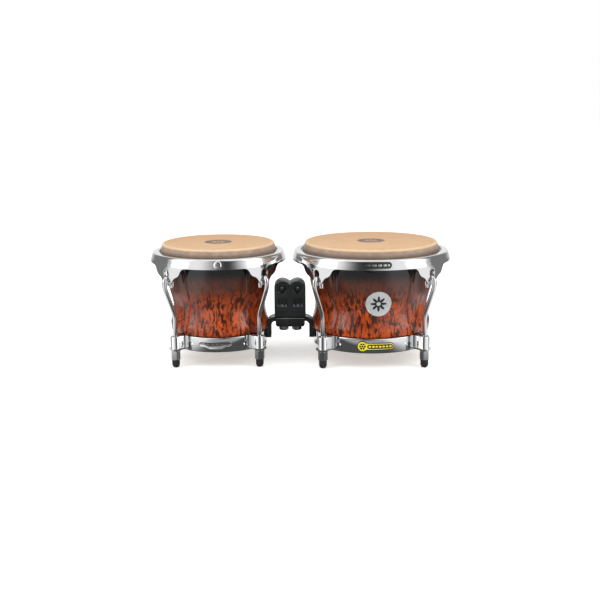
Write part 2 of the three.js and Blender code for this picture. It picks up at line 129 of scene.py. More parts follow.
class BongoShellSettings(bpy.types.PropertyGroup):
    """The turned shells and their lacquer."""

    wall: length("Wall", "Thickness of the shell's wall", 9.5 * MM)
    edge_round: length("Edge round", "Rounding of the bearing edge", 2.5 * MM)
    fade_top: length("Fade top", "Height at which the lacquer is fully black", 147 * MM)
    fade_middle: length("Fade middle", "Height at which the lacquer is dark brown", 130 * MM)
    fade_bottom: length("Fade bottom", "Height at which the fade ends", 84 * MM)
    amber: colour("Amber", "The light ground of the burl", (0.52, 0.075, 0.004))
    ember: colour("Ember", "The red-brown of the burl", (0.165, 0.017, 0.002))
    streak: colour("Streak", "The dark flames in the burl", (0.014, 0.005, 0.003))
    smoke: colour("Smoke", "The brown the burl fades through", (0.045, 0.011, 0.004))


class BongoHeadSettings(bpy.types.PropertyGroup):
    """The hide heads."""

    thickness: length("Thickness", "Thickness of the hide", 1.6 * MM)
    fold: length("Fold", "Radius of the fold over the bearing edge", 2.6 * MM)
    stamp_radius: length("Stamp radius", "Radius of the round stamp", 21.5 * MM)
    hide: colour("Hide", "The scraped playing surface", (0.60, 0.360, 0.165))
    hide_dark: colour("Dark hide", "Darker veins and patches", (0.42, 0.24, 0.125))


class BongoChromeSettings(bpy.types.PropertyGroup):
    """The rims, hooks, bands and the fittings on the hooks' legs."""

    rim_wall: length("Rim wall", "Thickness of the pressed rim", 3 * MM)
    rim_lip: length("Rim lip", "Width of the rim's flat top", 10.5 * MM)
    rim_shoulder: length("Rim shoulder", "Radius of the rim's outer edge", 4 * MM)
    rod_radius: length("Rod radius", "Radius of the hook's rod", 3.5 * MM)
    edge_bevel: length("Edge bevel", "Rounding of pressed edges", 0.55 * MM)
    plate: colour("Plate", "The chrome's reflectance", (0.86, 0.865, 0.87))


class BongoStageSettings(bpy.types.PropertyGroup):
    """The floor, lights and camera."""

    floor: colour("Floor", "The floor's colour", (0.93, 0.93, 0.92))
    camera_distance: length("Camera distance", "From the drums' middle to the camera", 1789.6 * MM)
    camera_height: length("Camera height", "Height of the camera above the floor", 443.6 * MM)
    camera_pitch: angle("Camera pitch", "How far the camera looks down", 0.1945)
    camera_roll: angle("Camera roll", "The camera's tilt", -0.0085)
    lens: number("Lens", "Focal length in millimetres", 69.34, min=1)


# ---------------- meshes


def new_object(name, mesh, material):
    piece = bpy.data.objects.new(name, mesh)
    bpy.context.scene.collection.objects.link(piece)
    mesh.materials.clear()
    mesh.materials.append(material)
    return piece


def mesh_of(piece):
    """A piece's mesh, without the piece."""
    mesh = piece.data
    bpy.data.objects.remove(piece)
    return mesh


def settled(piece):
    """The piece with its modifiers made real."""
    graph = bpy.context.evaluated_depsgraph_get()
    mesh = bpy.data.meshes.new_from_object(piece.evaluated_get(graph))
    old = piece.data
    piece.modifiers.clear()
    piece.data = mesh
    bpy.data.meshes.remove(old)
    return piece


def mesh_from(vertices, faces=(), edges=()):
    mesh = bpy.data.meshes.new("part")
    mesh.from_pydata(vertices, edges, faces)
    mesh.update()
    return mesh


@contextmanager
def edited(mesh):
    """A mesh opened for editing, and written back afterwards."""
    work = bmesh.new()
    work.from_mesh(mesh)
    yield work
    work.to_mesh(mesh)
    work.free()


def faced_out(mesh):
    """Merges doubles and turns every face outwards."""
    with edited(mesh) as work:
        bmesh.ops.remove_doubles(work, verts=work.verts, dist=1e-6)
        bmesh.ops.dissolve_degenerate(work, edges=work.edges, dist=1e-7)
        bmesh.ops.recalc_face_normals(work, faces=work.faces)
    return mesh


def sliced(work, axis, places):
    """Cuts a mesh across an axis, so that it can bend there."""
    normal = Matrix.Identity(3)[axis]
    for place in places:
        everything = work.verts[:] + work.edges[:] + work.faces[:]
        bmesh.ops.bisect_plane(work, geom=everything, plane_co=normal * place, plane_no=normal)


def turned(profile, x=0.0, y=0.0, steps=192):
    """(radius, height) pairs spun round a vertical axis.

    A profile that starts on the axis ends on it too. Any other is closed into a ring.
    """
    rows = len(profile)
    angles = np.arange(steps) * math.tau / steps
    vertices = [(x + r * math.sin(a), y - r * math.cos(a), z) for r, z in profile for a in angles]
    faces = []
    for row in range(rows if profile[0][0] > 0 else rows - 1):
        a, b = row * steps, (row + 1) % rows * steps
        for i in range(steps):
            j = (i + 1) % steps
            faces.append((a + i, a + j, b + j, b + i))
    return faced_out(mesh_from(vertices, faces))


def cylinder(radius, low, high):
    return turned([(0, low), (radius, low), (radius, high), (0, high)], steps=32)


def prism(outline, low, high):
    """A flat outline in X and Y, raised from one height to another."""
    count = len(outline)
    vertices = [(x, y, z) for z in (low, high) for x, y in outline]
    faces = [tuple(range(count)), tuple(range(count, 2 * count))]
    faces += [(i, (i + 1) % count, count + (i + 1) % count, count + i) for i in range(count)]
    return faced_out(mesh_from(vertices, faces))


def moved(mesh, x=0.0, y=0.0, z=0.0):
    mesh.transform(Matrix.Translation((x, y, z)))
    return mesh


def spun(mesh, angle, axis="Z"):
    mesh.transform(Matrix.Rotation(angle, 4, axis))
    return mesh


def standing(mesh):
    """What was drawn in X and Y now stands in X and Z."""
    return spun(mesh, math.pi / 2, "X")


def slab(outline, thickness, back=0.0):
    """An outline in X and Z, made thick towards the front from a back plane."""
    return moved(standing(prism(outline, 0, thickness)), y=back)


def arc(centre, radius, start, end, steps):
    """Points on an arc, angles in degrees, both ends included."""
    angles = [math.radians(start + (end - start) * i / steps) for i in range(steps + 1)]
    return [(centre[0] + radius * math.cos(a), centre[1] + radius * math.sin(a)) for a in angles]


def in_mm(points):
    return [(a * MM, b * MM) for a, b in points]


def curve_through(points, samples):
    """A smooth curve through (a, b) points, sampled evenly in the points' own count."""
    points = np.array(points, float)
    ends = np.vstack([2 * points[0] - points[1], points, 2 * points[-1] - points[-2]])
    result = []
    for i in np.linspace(0, len(points) - 1, samples):
        k = min(int(i), len(points) - 2)
        t = i - k
        a, b, c, d = ends[k : k + 4]
        cubic = (3 * b - a - 3 * c + d) * t**3
        result.append(tuple(0.5 * (2 * b + (c - a) * t + (2 * a - 5 * b + 4 * c - d) * t**2 + cubic)))
    return result


def height_table(points):
    """A function from height to the other value of (value, height) points that go down in height."""
    line = np.array(points)[::-1]
    return lambda z: float(np.interp(z, line[:, 1], line[:, 0]))


def with_boolean(piece, cutters, operation="DIFFERENCE"):
    """Cuts or joins meshes with a piece, and drops them."""
    tools = []
    for mesh in cutters:
        tool = new_object("tool", mesh, piece.data.materials[0])
        modifier = piece.modifiers.new("cut", "BOOLEAN")
        modifier.operation = operation
        modifier.solver = "EXACT"
        modifier.object = tool
        tools.append(tool)
    settled(piece)
    for tool in tools:
        bpy.data.objects.remove(tool)
    return piece


def with_bevel(piece, width, segments, degrees):
    """Rounds every edge that is sharper than an angle."""
    modifier = piece.modifiers.new("edges", "BEVEL")
    modifier.width = width
    modifier.segments = segments
    modifier.limit_method = "ANGLE"
    modifier.angle_limit = math.radians(degrees)
    return settled(piece)


def finished(piece, body, replaces=(), smooth_below=32):
    """Shades a piece, hangs it on its body and hides the frame parts it stands for."""
    piece.data.shade_smooth()
    piece.data.set_sharp_from_angle(angle=math.radians(smooth_below))
    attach(piece, body)
    if replaces:
        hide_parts(*replaces)
    return piece


# ---------------- geometry nodes


class Recipe:
    """A geometry node tree with named inputs."""

    def __init__(self, name):
        self.tree = bpy.data.node_groups.new(name, "GeometryNodeTree")
        for way in ("INPUT", "OUTPUT"):
            self.tree.interface.new_socket("Geometry", in_out=way, socket_type="NodeSocketGeometry")
        self.inputs = self.tree.nodes.new("NodeGroupInput")
        self.outputs = self.tree.nodes.new("NodeGroupOutput")
        self.identifiers = {}

    def setting(self, name, kind, default):
        socket = self.tree.interface.new_socket(name, in_out="INPUT", socket_type=kind)
        socket.default_value = default
        self.identifiers[name] = socket.identifier
        return self.inputs.outputs[name]

    def node(self, kind, values, output):
        node = self.tree.nodes.new(kind)
        for name, value in values.items():
            if isinstance(value, bpy.types.NodeSocket):
                self.tree.links.new(value, node.inputs[name])
            else:
                node.inputs[name].default_value = value
        return node.outputs[output]

    def maths(self, operation, a, b):
        result = self.node("ShaderNodeMath", {0: a, 1: b}, 0)
        result.node.operation = operation
        return result

    def apply(self, piece, **values):
        """Adds the tree to a piece, sets its inputs by their identifiers and makes the result real."""
        modifier = piece.modifiers.new(self.tree.name, "NODES")
        modifier.node_group = self.tree
        for name, value in values.items():
            modifier[self.identifiers[name]] = value
        return settled(piece)


def ring_copies(recipe, geometry, material):
    """Adds the nodes that repeat a geometry round a drum's axis, realize it and give it its material."""
    count = recipe.setting("Count", "NodeSocketInt", len(CORNERS))
    centre = recipe.setting("Centre", "NodeSocketVector", (0, 0, 0))
    first = recipe.setting("First bearing", "NodeSocketFloat", math.radians(CORNERS["front_right"]))
    points = recipe.node("GeometryNodePoints", {"Count": count, "Position": centre}, "Points")
    index = recipe.node("GeometryNodeInputIndex", {}, "Index")
    step = recipe.maths("MULTIPLY", index, recipe.maths("DIVIDE", math.tau, count))
    turn = recipe.node("ShaderNodeCombineXYZ", {"Z": recipe.maths("ADD", step, first)}, "Vector")
    placed = {"Points": points, "Instance": geometry, "Rotation": turn}
    copies = recipe.node("GeometryNodeInstanceOnPoints", placed, "Instances")
    real = recipe.node("GeometryNodeRealizeInstances", {"Geometry": copies}, "Geometry")
    coated = recipe.node("GeometryNodeSetMaterial", {"Geometry": real, "Material": material}, "Geometry")
    recipe.tree.links.new(coated, recipe.outputs.inputs["Geometry"])


def ring_of(name, mesh, drum, material):
    """Four copies round a drum of a mesh that is drawn facing -Y, with the drum's axis at the origin."""
    recipe = Recipe(f"{name} round the drum")
    ring_copies(recipe, recipe.inputs.outputs["Geometry"], material)
    return recipe.apply(new_object(name, mesh, material), Centre=(drum.x, 0.0, 0.0))


def rods_round(name, route, radius, drum, material):
    """A bent rod that follows a route in the plane of its bearing, repeated round a drum."""
    recipe = Recipe(f"{name} bent rods")
    thickness = recipe.setting("Rod radius", "NodeSocketFloat", radius)
    line = recipe.node("GeometryNodeMeshToCurve", {"Mesh": recipe.inputs.outputs["Geometry"]}, "Curve")
    circle = {"Radius": thickness, "Resolution": 28}
    section = recipe.node("GeometryNodeCurvePrimitiveCircle", circle, "Curve")
    swept = {"Curve": line, "Profile Curve": section, "Fill Caps": True}
    ring_copies(recipe, recipe.node("GeometryNodeCurveToMesh", swept, "Mesh"), material)
    vertices = [(0, -out, z) for out, z in route]
    mesh = mesh_from(vertices, edges=[(i, i + 1) for i in range(len(vertices) - 1)])
    return recipe.apply(new_object(name, mesh, material), Centre=(drum.x, 0.0, 0.0))


# ---------------- shader maths


def arithmetic(operation, reflected=False):
    """A method that adds one maths node to a wire."""

    def method(self, other):
        values = (other, self) if reflected else (self, other)
        return self.nodes.maths(operation, *values)

    return method


class Wire:
    """A shader value that plain arithmetic works on."""

    __add__ = __radd__ = arithmetic("ADD")
    __mul__ = __rmul__ = arithmetic("MULTIPLY")
    __sub__ = arithmetic("SUBTRACT")
    __rsub__ = arithmetic("SUBTRACT", reflected=True)
    __truediv__ = arithmetic("DIVIDE")
    __rtruediv__ = arithmetic("DIVIDE", reflected=True)
    __gt__ = arithmetic("GREATER_THAN")
    __lt__ = arithmetic("LESS_THAN")

    def __init__(self, nodes, socket):
        self.nodes = nodes
        self.socket = socket

    def __abs__(self):
        return self.nodes.maths("ABSOLUTE", self)

    def smooth(self, low, high):
        """0 below low, 1 above high, and a soft step between."""
        values = {"Value": self, "From Min": low, "From Max": high}
        return self.nodes.node("ShaderNodeMapRange", {"interpolation_type": "SMOOTHSTEP"}, values)


class Nodes:
    """A shader node tree, built from Python expressions."""

    def __init__(self, tree):
        self.tree = tree

    def plug(self, socket, value):
        if isinstance(value, Wire):
            self.tree.links.new(value.socket, socket)
        elif socket.type == "RGBA" and len(value) == 3:
            socket.default_value = (*value, 1)
        else:
            socket.default_value = value

    def node(self, kind, options, values, output=0):
        node = self.tree.nodes.new(kind)
        for name, value in options.items():
            setattr(node, name, value)
        for name, value in values.items():
            self.plug(node.inputs[name], value)
        return Wire(self, node.outputs[output])

    def maths(self, operation, *values):
        return self.node("ShaderNodeMath", {"operation": operation}, dict(enumerate(values)))

    def parts(self, vector):
        return [self.node("ShaderNodeSeparateXYZ", {}, {"Vector": vector}, axis) for axis in "XYZ"]

    def grey(self, value):
        """The same number on all three axes."""
        return self.node("ShaderNodeCombineXYZ", {}, {"X": value, "Y": value, "Z": value})

    def length(self, a, b):
        return self.maths("SQRT", a * a + b * b)


class Finish(Nodes):
    """A material on the standard surface."""

    def __init__(self, name):
        self.material = bpy.data.materials.new(name)
        self.material.use_nodes = True
        super().__init__(self.material.node_tree)

    def set(self, **values):
        surface = self.tree.nodes["Principled BSDF"]
        for name, value in values.items():
            self.plug(surface.inputs[name.replace("_", " ")], value)
        return self.material

    def place(self, scale=1, rotation=(0, 0, 0)):
        """The piece's own coordinates, in metres, scaled for a pattern."""
        source = self.node("ShaderNodeTexCoord", {}, {}, "Object")
        scales = scale if isinstance(scale, tuple) else (scale, scale, scale)
        values = {"Vector": source, "Scale": scales, "Rotation": rotation}
        return self.node("ShaderNodeMapping", {}, values)

    def axes(self):
        return self.parts(self.place())

    def noise(self, scale, detail=3.0, roughness=0.5, distortion=0.0, rotation=(0, 0, 0)):
        """Noise at a scale, or over coordinates of its own."""
        place = scale if isinstance(scale, Wire) else self.place(scale, rotation)
        values = {"Vector": place, "Scale": 1.0, "Detail": detail}
        values |= {"Roughness": roughness, "Distortion": distortion}
        return self.node("ShaderNodeTexNoise", {}, values, "Fac")

    def blend(self, factor, first, second):
        """Two colours mixed by a factor."""
        return self.node("ShaderNodeMix", {"data_type": "RGBA"}, {0: factor, 6: first, 7: second}, 2)

    def coats(self, ground, *coats):
        """A ground colour with (factor, colour) coats laid over it in turn."""
        for factor, coat in coats:
            ground = self.blend(factor, ground, coat)
        return ground

    def bump(self, height, distance, strength):
        values = {"Height": height, "Distance": distance, "Strength": strength}
        return self.node("ShaderNodeBump", {}, values)


def between(a, b, share):
    """The value a share of the way from a to b."""
    return a + (b - a) * share


def rosette(finish, across, up, radius):
    """A plain eight-petal rosette: 1 on the ink."""
    distance = finish.length(across, up) * (1 / radius)
    petals = finish.maths("COSINE", finish.maths("ARCTAN2", up, across) * 8)
    edge = petals * 0.17 + 0.45
    return (edge - distance).smooth(-0.02, 0.02) * (distance - 0.16).smooth(-0.015, 0.015)


# ---------------- finishes

FLAME_LEAN = (0, 0.34, 0)
INK = (0.060, 0.027, 0.020)


def lacquered_burl(shell):
    """Orange burl under thick gloss lacquer, with dark flames, fading to black under the rim."""
    finish = Finish("lacquered_burl")
    sway = finish.grey(finish.noise((40, 40, 22), detail=2.0))
    drift = finish.place((215, 215, 56), FLAME_LEAN)
    swaying = {0: sway, 1: (2.2, 2.2, 2.2), 2: drift}
    wavy = finish.node("ShaderNodeVectorMath", {"operation": "MULTIPLY_ADD"}, swaying)
    flames = finish.noise(wavy, detail=4.0, roughness=0.62, distortion=0.35)
    fine = finish.noise((520, 520, 170), detail=4.0, roughness=0.65, rotation=FLAME_LEAN)
    cloud = finish.noise((34, 34, 20))
    dark = (0.475 - flames + (cloud - 0.5) * 0.16).smooth(-0.05, 0.055)
    height = finish.axes()[2]
    ragged = height + (cloud - 0.5) * 0.024 + (flames - 0.5) * 0.030
    browned = ragged.smooth(shell.fade_bottom, shell.fade_middle)
    blackened = (height + (cloud - 0.5) * 0.008).smooth(shell.fade_middle, shell.fade_top)
    wood = finish.coats(
        shell.ember,
        ((cloud * 0.75 + fine * 0.5).smooth(0.42, 0.82), shell.amber),
        ((fine - 0.60).smooth(0, 0.12) * 0.45, (0.70, 0.15, 0.015)),
        (dark * 0.93, shell.streak),
        ((0.43 - fine).smooth(0.0, 0.10) * 0.55, (0.06, 0.010, 0.004)),
        (browned * 0.9, shell.smoke),
        (blackened, (0.004, 0.003, 0.003)),
    )
    ripple = finish.noise((20, 20, 14), detail=1.0)
    return finish.set(
        Base_Color=wood,
        Roughness=0.32 + fine * 0.12,
        Normal=finish.bump(ripple, 0.25 * MM, 0.25),
        Coat_Weight=0.85,
        Coat_Roughness=0.02,
        Coat_IOR=1.6,
        Specular_IOR_Level=0.15,
    )


def bare_shell_wood():
    """The unlacquered inside of a shell: straight pale grain, lightly soiled."""
    finish = Finish("bare_shell_wood")
    grain = finish.noise((260, 260, 9), detail=4.0, roughness=0.6)
    dirt = finish.noise(18)
    wood = finish.coats(
        (0.36, 0.22, 0.11),
        (grain.smooth(0.35, 0.7), (0.55, 0.38, 0.21)),
        (dirt.smooth(0.5, 0.8) * 0.4, (0.20, 0.12, 0.06)),
    )
    return finish.set(
        Base_Color=wood,
        Roughness=0.55 + grain * 0.2,
        Normal=finish.bump(grain, 0.2 * MM, 0.4),
    )


def drum_hide(head, drum):
    """Scraped hide: tan with faint veins, a greyer mottled collar and a round stamp in the middle;
    painted shade darkens the back of the head and the collar towards the rim, and a painted highlight
    lies on the fold.
    """
    finish = Finish(drum.part("hide"))
    x, y, z = finish.axes()
    veins = finish.noise((42, 30, 42), detail=6.0, roughness=0.6, distortion=1.2, rotation=(0, 0, 0.5))
    cloud = finish.noise((13, 16, 13))
    pores = finish.noise(700, detail=2.0)
    mottle = finish.noise((70, 70, 90), detail=5.0, roughness=0.6)
    from_top = (drum.head_top - 0.9 * MM) - z
    collar = from_top.smooth(0.0, 3.2 * MM)
    collar_hide_and_shade = finish.coats(
        (0.26, 0.185, 0.14),
        (mottle.smooth(0.30, 0.72), (0.37, 0.275, 0.21)),
        # Painted shade: the collar darkens down towards the rim, which shades it.
        (from_top.smooth(4.5 * MM, 11 * MM) * 0.75, (0.095, 0.070, 0.064)),
    )
    across = x - drum.x
    reach = finish.length(across, y)
    # Painted highlight: a pale band where the hide turns over the bearing edge.
    painted_fold_highlight = (reach - (drum.head_radius - 2.6 * MM)).smooth(0, 1.4 * MM) * (1 - collar)
    on_top = (z - (drum.head_top - 0.4 * MM)) > 0
    stamp = (head.stamp_radius - reach).smooth(-0.3 * MM, 0.3 * MM) * on_top
    worn = (finish.noise(420) - 0.3).smooth(0, 0.12)
    petals = rosette(finish, across, y, head.stamp_radius)
    skin = finish.coats(
        head.hide,
        ((veins * 0.55 + cloud * 0.45).smooth(0.47, 0.70) * 0.6, head.hide_dark),
        ((cloud - 0.5).smooth(0.0, 0.25) * 0.45, (0.68, 0.43, 0.22)),
        # Painted shade: the head turns darker and more golden towards the back, away from the lights.
        ((y * (1 / drum.head_radius)).smooth(-1.1, 1.2) * 0.8, (0.50, 0.265, 0.10)),
        (collar * 0.95, collar_hide_and_shade),
        (painted_fold_highlight * 0.35, (0.88, 0.72, 0.52)),
        (stamp * worn * (0.95 - petals * 0.6), INK),
    )
    relief = veins * 0.5 + pores * 0.25 + mottle * collar
    return finish.set(
        Base_Color=skin,
        Roughness=0.50 + veins * 0.18 - painted_fold_highlight * 0.12,
        Normal=finish.bump(relief, 0.35 * MM, 0.45),
        Sheen_Weight=0.12,
        Subsurface_Weight=0.06,
        Subsurface_Scale=0.002,
    )


def chrome_plate(chrome):
    """Polished chrome with a breath of haze and hairline polishing marks."""
    finish = Finish("chrome_plate")
    haze = finish.noise(38, detail=4.0)
    hairs = finish.noise((900, 900, 60), detail=2.0)
    return finish.set(
        Base_Color=finish.blend(haze.smooth(0.45, 0.8) * 0.5, chrome.plate, (0.80, 0.81, 0.83)),
        Metallic=1.0,
        Roughness=0.03 + haze * 0.03 + hairs * 0.02,
        Normal=finish.bump(hairs, 0.01 * MM, 0.15),
    )


def bare_steel():
    """Zinc-grey steel, hardly seen under the rims."""
    finish = Finish("bare_steel")
    grain = finish.noise(300)
    shade = finish.blend(grain, (0.42, 0.43, 0.45), (0.62, 0.63, 0.65))
    return finish.set(Base_Color=shade, Metallic=1.0, Roughness=0.3 + grain * 0.2)


def blackened_steel():
    """Oil-blackened steel, worn brighter in patches."""
    finish = Finish("blackened_steel")
    wear = finish.noise(160, detail=4.0)
    return finish.set(
        Base_Color=finish.blend(wear.smooth(0.4, 0.7), (0.22, 0.23, 0.24), (0.62, 0.63, 0.65)),
        Metallic=1.0,
        Roughness=0.20 + wear * 0.15,
        Normal=finish.bump(wear, 0.05 * MM, 0.3),
    )


def brushed_badge_metal(centre, bearing, radius):
    """Fine vertical brushing with a printed rosette."""
    finish = Finish("brushed_badge_metal")
    x, y, z = finish.axes()
    brushing = finish.noise((1300, 1300, 45), detail=5.0, roughness=0.7)
    across = (x - centre.x) * math.cos(bearing) + (y - centre.y) * math.sin(bearing)
    print_mask = rosette(finish, across, z - centre.z, radius)
    metal = finish.blend(brushing.smooth(0.3, 0.7), (0.46, 0.48, 0.48), (0.78, 0.80, 0.80))
    return finish.set(
        Base_Color=finish.blend(print_mask, metal, (0.012, 0.012, 0.013)),
        Metallic=(1 - print_mask) * 0.55,
        Roughness=0.42 + brushing * 0.12,
        Normal=finish.bump(brushing, 0.03 * MM, 0.4),
    )


def moulded_black(name, tone, roughness, scale, relief):
    """A dark finish with fine grain, a little lighter where it is handled."""
    finish = Finish(name)
    grain = finish.noise(scale)
    wear = finish.noise(30)
    lighter = tuple(value * 2.2 for value in tone)
    return finish.set(
        Base_Color=finish.blend(wear.smooth(0.45, 0.8) * 0.6 + grain * 0.2, tone, lighter),
        Roughness=roughness + wear * 0.12,
        Normal=finish.bump(grain, relief, 0.5),
    )


def enamel(name, tone, darker):
    """Glossy enamel with slight pooling."""
    finish = Finish(name)
    pool = finish.noise(120)
    return finish.set(
        Base_Color=finish.blend(pool.smooth(0.35, 0.7), tone, darker),
        Roughness=0.22 + pool * 0.1,
        Coat_Weight=0.6,
        Coat_Roughness=0.05,
    )


def studio_floor(stage):
    """A pale seamless floor, slightly uneven in its sheen."""
    finish = Finish("studio_floor")
    cloud = finish.noise(2, detail=2.0)
    darker = tuple(value * 0.97 for value in stage.floor)
    return finish.set(
        Base_Color=finish.blend(cloud, stage.floor, darker),
        Roughness=0.55 + cloud * 0.1,
        Specular_IOR_Level=0.2,
        Emission_Color=stage.floor,
        Emission_Strength=0.46,
    )


# ---------------- pieces: shells and heads

# The shell's outer line in mm, from mouth to band: distance inside the head's radius, and height.
SHELL_LINE = [
    (0, 178), (2.8, 150), (6.9, 119), (12.2, 98), (13.8, 87), (12.2, 74), (9.1, 61), (9.8, 50.2),
]
WAIST_INSET, WAIST_HEIGHT = SHELL_LINE[4]
BAND_WALL = 2.5 * MM


def shell_line(drum):
    """The shell's outer line as (radius, height) in metres."""
    return curve_through([(drum.head_radius - inset * MM, z * MM) for inset, z in SHELL_LINE], 72)


def shell_piece(drum, shell, lacquer, bare):
    radius, top, rounding = drum.head_radius, drum.shell_top, shell.edge_round
    seat = drum.band_radius - BAND_WALL - GAP
    outside = arc((radius - rounding, top - rounding), rounding, 90, 0, 6)
    outside += [*shell_line(drum), (seat, drum.band_top + GAP), (seat, drum.shell_bottom)]
    inside = [
        (seat - shell.wall, drum.shell_bottom),
        (seat - shell.wall, drum.band_top),
        (radius - (WAIST_INSET * MM + shell.wall), WAIST_HEIGHT * MM),
        (radius - shell.wall, SHELL_LINE[0][1] * MM),
    ]
    inside += arc((radius - shell.wall + rounding, top - rounding), rounding, 180, 90, 5)
    mesh = turned([*outside, *inside], drum.x, steps=224)
    piece = new_object(drum.part("lacquered_shell"), mesh, lacquer)
    mesh.materials.append(bare)
    for face in mesh.polygons:
        towards_axis = face.normal.x * (face.center.x - drum.x) + face.normal.y * face.center.y < 0
        underneath = face.normal.z < -0.9 and face.center.z < drum.band_bottom + MM
        face.material_index = int(towards_axis or underneath)
    return finished(piece, "root", [drum.part("shell")])


def head_piece(drum, head, hide):
    """A hide folded over the bearing edge, with its collar running down inside the rim."""
    radius, top, collar = drum.head_radius, drum.head_top, drum.collar_radius
    flat = [(radius * share, top) for share in (0, 0.12, 0.35, 0.6, 0.82, 0.93)]
    bend = arc((radius - 0.9 * MM, top - head.fold), head.fold, 90, 12, 8)
    slope = curve_through([bend[-1], (radius + 2.6 * MM, top - 6 * MM), (collar, drum.rim_top)], 9)[1:]
    inner_line = [
        (collar, drum.skin_bottom),
        (collar - head.thickness, drum.skin_bottom),
        (collar - head.thickness, drum.rim_top),
        (radius + 1.0 * MM, top - 5 * MM),
        (radius - 1.4 * MM, top - head.thickness),
        (0, top - head.thickness),
    ]
    mesh = turned([*flat, *bend, *slope, *inner_line], drum.x, steps=224)
    piece = new_object(drum.part("hide_head"), mesh, hide)
    return finished(piece, "root", [drum.part("head_skin")], smooth_below=50)


def rounded_ring(inner, outer, low, high, corner, outer_steps, inner_steps):
    """The profile of a ring whose four corners are rounded."""
    corners = [
        (outer - corner, high - corner, 90, outer_steps),
        (outer - corner, low + corner, 0, outer_steps),
        (inner + corner, low + corner, -90, inner_steps),
        (inner + corner, high - corner, 180, inner_steps),
    ]
    arcs = [arc((x, z), corner, start, start - 90, steps) for x, z, start, steps in corners]
    return [point for line in arcs for point in line]


def hoop_piece(drum, steel):
    low, high = drum.heights("flesh_hoop")
    outer = drum.half_width("flesh_hoop")
    profile = rounded_ring(drum.collar_radius + GAP, outer, low, high, 1.2 * MM, 4, 4)
    piece = new_object(drum.part("steel_hoop"), turned(profile, drum.x), steel)
    return finished(piece, drum.rim_set, [drum.part("flesh_hoop")])


# ---------------- pieces: rims and hooks

# Half of a lobe's outline in mm: half-width, and height above the lobe's tip.
LOBE_LINE = [
    (38, 29.1), (33, 28.2), (29, 24.8), (26.2, 19.6), (22.5, 15.9), (18, 13.9),
    (14.3, 11.3), (11, 6.9), (7.5, 2.9), (3.8, 0.7), (0, 0),
]
LOBE_EDGE = np.array(curve_through(LOBE_LINE, 80))[::-1] * MM
SLOT_HALF = 5 * MM
SLOT_BOTTOM = 8.3 * MM
SLOT_TOP = 25.3 * MM
SLOT_ROWS = 5

# The rim's wall in mm: height, and distance past the rim's radius. It flares down from the shoulder, and
# the lobes tuck in.
WALL_LINE = [
    (127.7, -2.0), (140, -0.9), (150, -0.15), (158, 0), (162.5, -0.7), (166, -1.7), (168.8, -2.5),
]
WALL_TOP_INSET = -WALL_LINE[-1][1] * MM


def slot_heights(offset):
    """The slot's bottom and top above the lobe's tip, at an arc's distance from its middle."""
    arch = math.sqrt(max(SLOT_HALF**2 - offset**2, 0))
    return SLOT_BOTTOM, SLOT_TOP - SLOT_HALF + arch


def rim_offsets(quarter):
    """Distances along a quarter of the rim from its lobe's middle, dense where the edge is busy."""
    slot = [SLOT_HALF * math.sin(math.pi / 2 * k / 7) for k in range(-7, 8)]
    lobe = list(np.linspace(SLOT_HALF, LOBE_LINE[0][0] * MM, 27))[1:]
    plain = list(np.linspace(lobe[-1], quarter - lobe[-1], 17))[1:-1]
    return [-value for value in reversed(lobe)] + slot + lobe + plain


def wall_radius(drum):
    """A function from height to the rim's outer radius."""
    line = np.array(curve_through(WALL_LINE, 70)) * MM
    return lambda z: drum.rim_radius + float(np.interp(z, line[:, 0], line[:, 1]))


def rim_columns(drum, quarter, shoulder):
    """For a quarter: each column's offset, its row heights, and whether the slot opens to its right."""
    columns = []
    for offset in rim_offsets(quarter):
        low = drum.rim_bottom + float(np.interp(abs(offset), LOBE_EDGE[:, 0], LOBE_EDGE[:, 1]))
        slot_low, slot_high = (drum.rim_bottom + value for value in slot_heights(offset))
        away = min(max((abs(offset) - SLOT_HALF) / (9 * MM), 0), 1)
        away = away * away * (3 - 2 * away)
        upper = between(slot_high, between(low, shoulder, 0.62), away)
        lower = between(slot_low, between(low, shoulder, 0.3), away)
        rows = [*np.linspace(shoulder, upper, 7)]
        rows += [*np.linspace(upper, lower, SLOT_ROWS + 1)[1:], *np.linspace(lower, low, 6)[1:]]
        columns.append((offset, rows, -SLOT_HALF - 1e-6 < offset < SLOT_HALF - 1e-6))
    return columns


def rim_mesh(drum, chrome):
    """The rim's outer skin: a flat lip, a rounded shoulder and a wall with four slotted lobes."""
    radius_at = wall_radius(drum)
    shoulder, top = chrome.rim_shoulder, drum.rim_top
    middle = drum.rim_radius - WALL_TOP_INSET - shoulder
    lip = middle + shoulder - chrome.rim_lip
    top_rows = [(lip, top), ((lip + middle) / 2, top)]
    top_rows += arc((middle, top - shoulder), shoulder, 90, 0, 8)[:-1]
    columns = rim_columns(drum, drum.rim_radius * math.pi / 2, top - shoulder)
    vertices, open_right = [], []
    for bearing in CORNERS.values():
        for offset, heights, opens in columns:
            turn = math.radians(bearing) + offset / drum.rim_radius
            section = top_rows + [(radius_at(z), z) for z in heights]
            vertices += [(drum.x + r * math.sin(turn), -r * math.cos(turn), z) for r, z in section]
            open_right.append(opens)
    rows = len(section)
    first = len(top_rows) + 6
    faces = []
    for column, opens in enumerate(open_right):
        a, b = column * rows, (column + 1) % len(open_right) * rows
        for row in range(rows - 1):
            if not (opens and first <= row < first + SLOT_ROWS):
                faces.append((a + row, a + row + 1, b + row + 1, b + row))
    return skin_faced_out(mesh_from(vertices, faces), drum)


def skin_faced_out(mesh, drum):
    """Turns an open skin's faces away from the drum's axis."""
    with edited(mesh) as work:
        bmesh.ops.recalc_face_normals(work, faces=work.faces)
        wall = min(work.faces, key=lambda face: face.calc_center_median().z)
        centre = wall.calc_center_median() - Vector((drum.x, 0, 0))
        if wall.normal.x * centre.x + wall.normal.y * centre.y < 0:
            bmesh.ops.reverse_faces(work, faces=work.faces)
        loose = [vertex for vertex in work.verts if not vertex.link_faces]
        bmesh.ops.delete(work, geom=loose, context="VERTS")
    return mesh


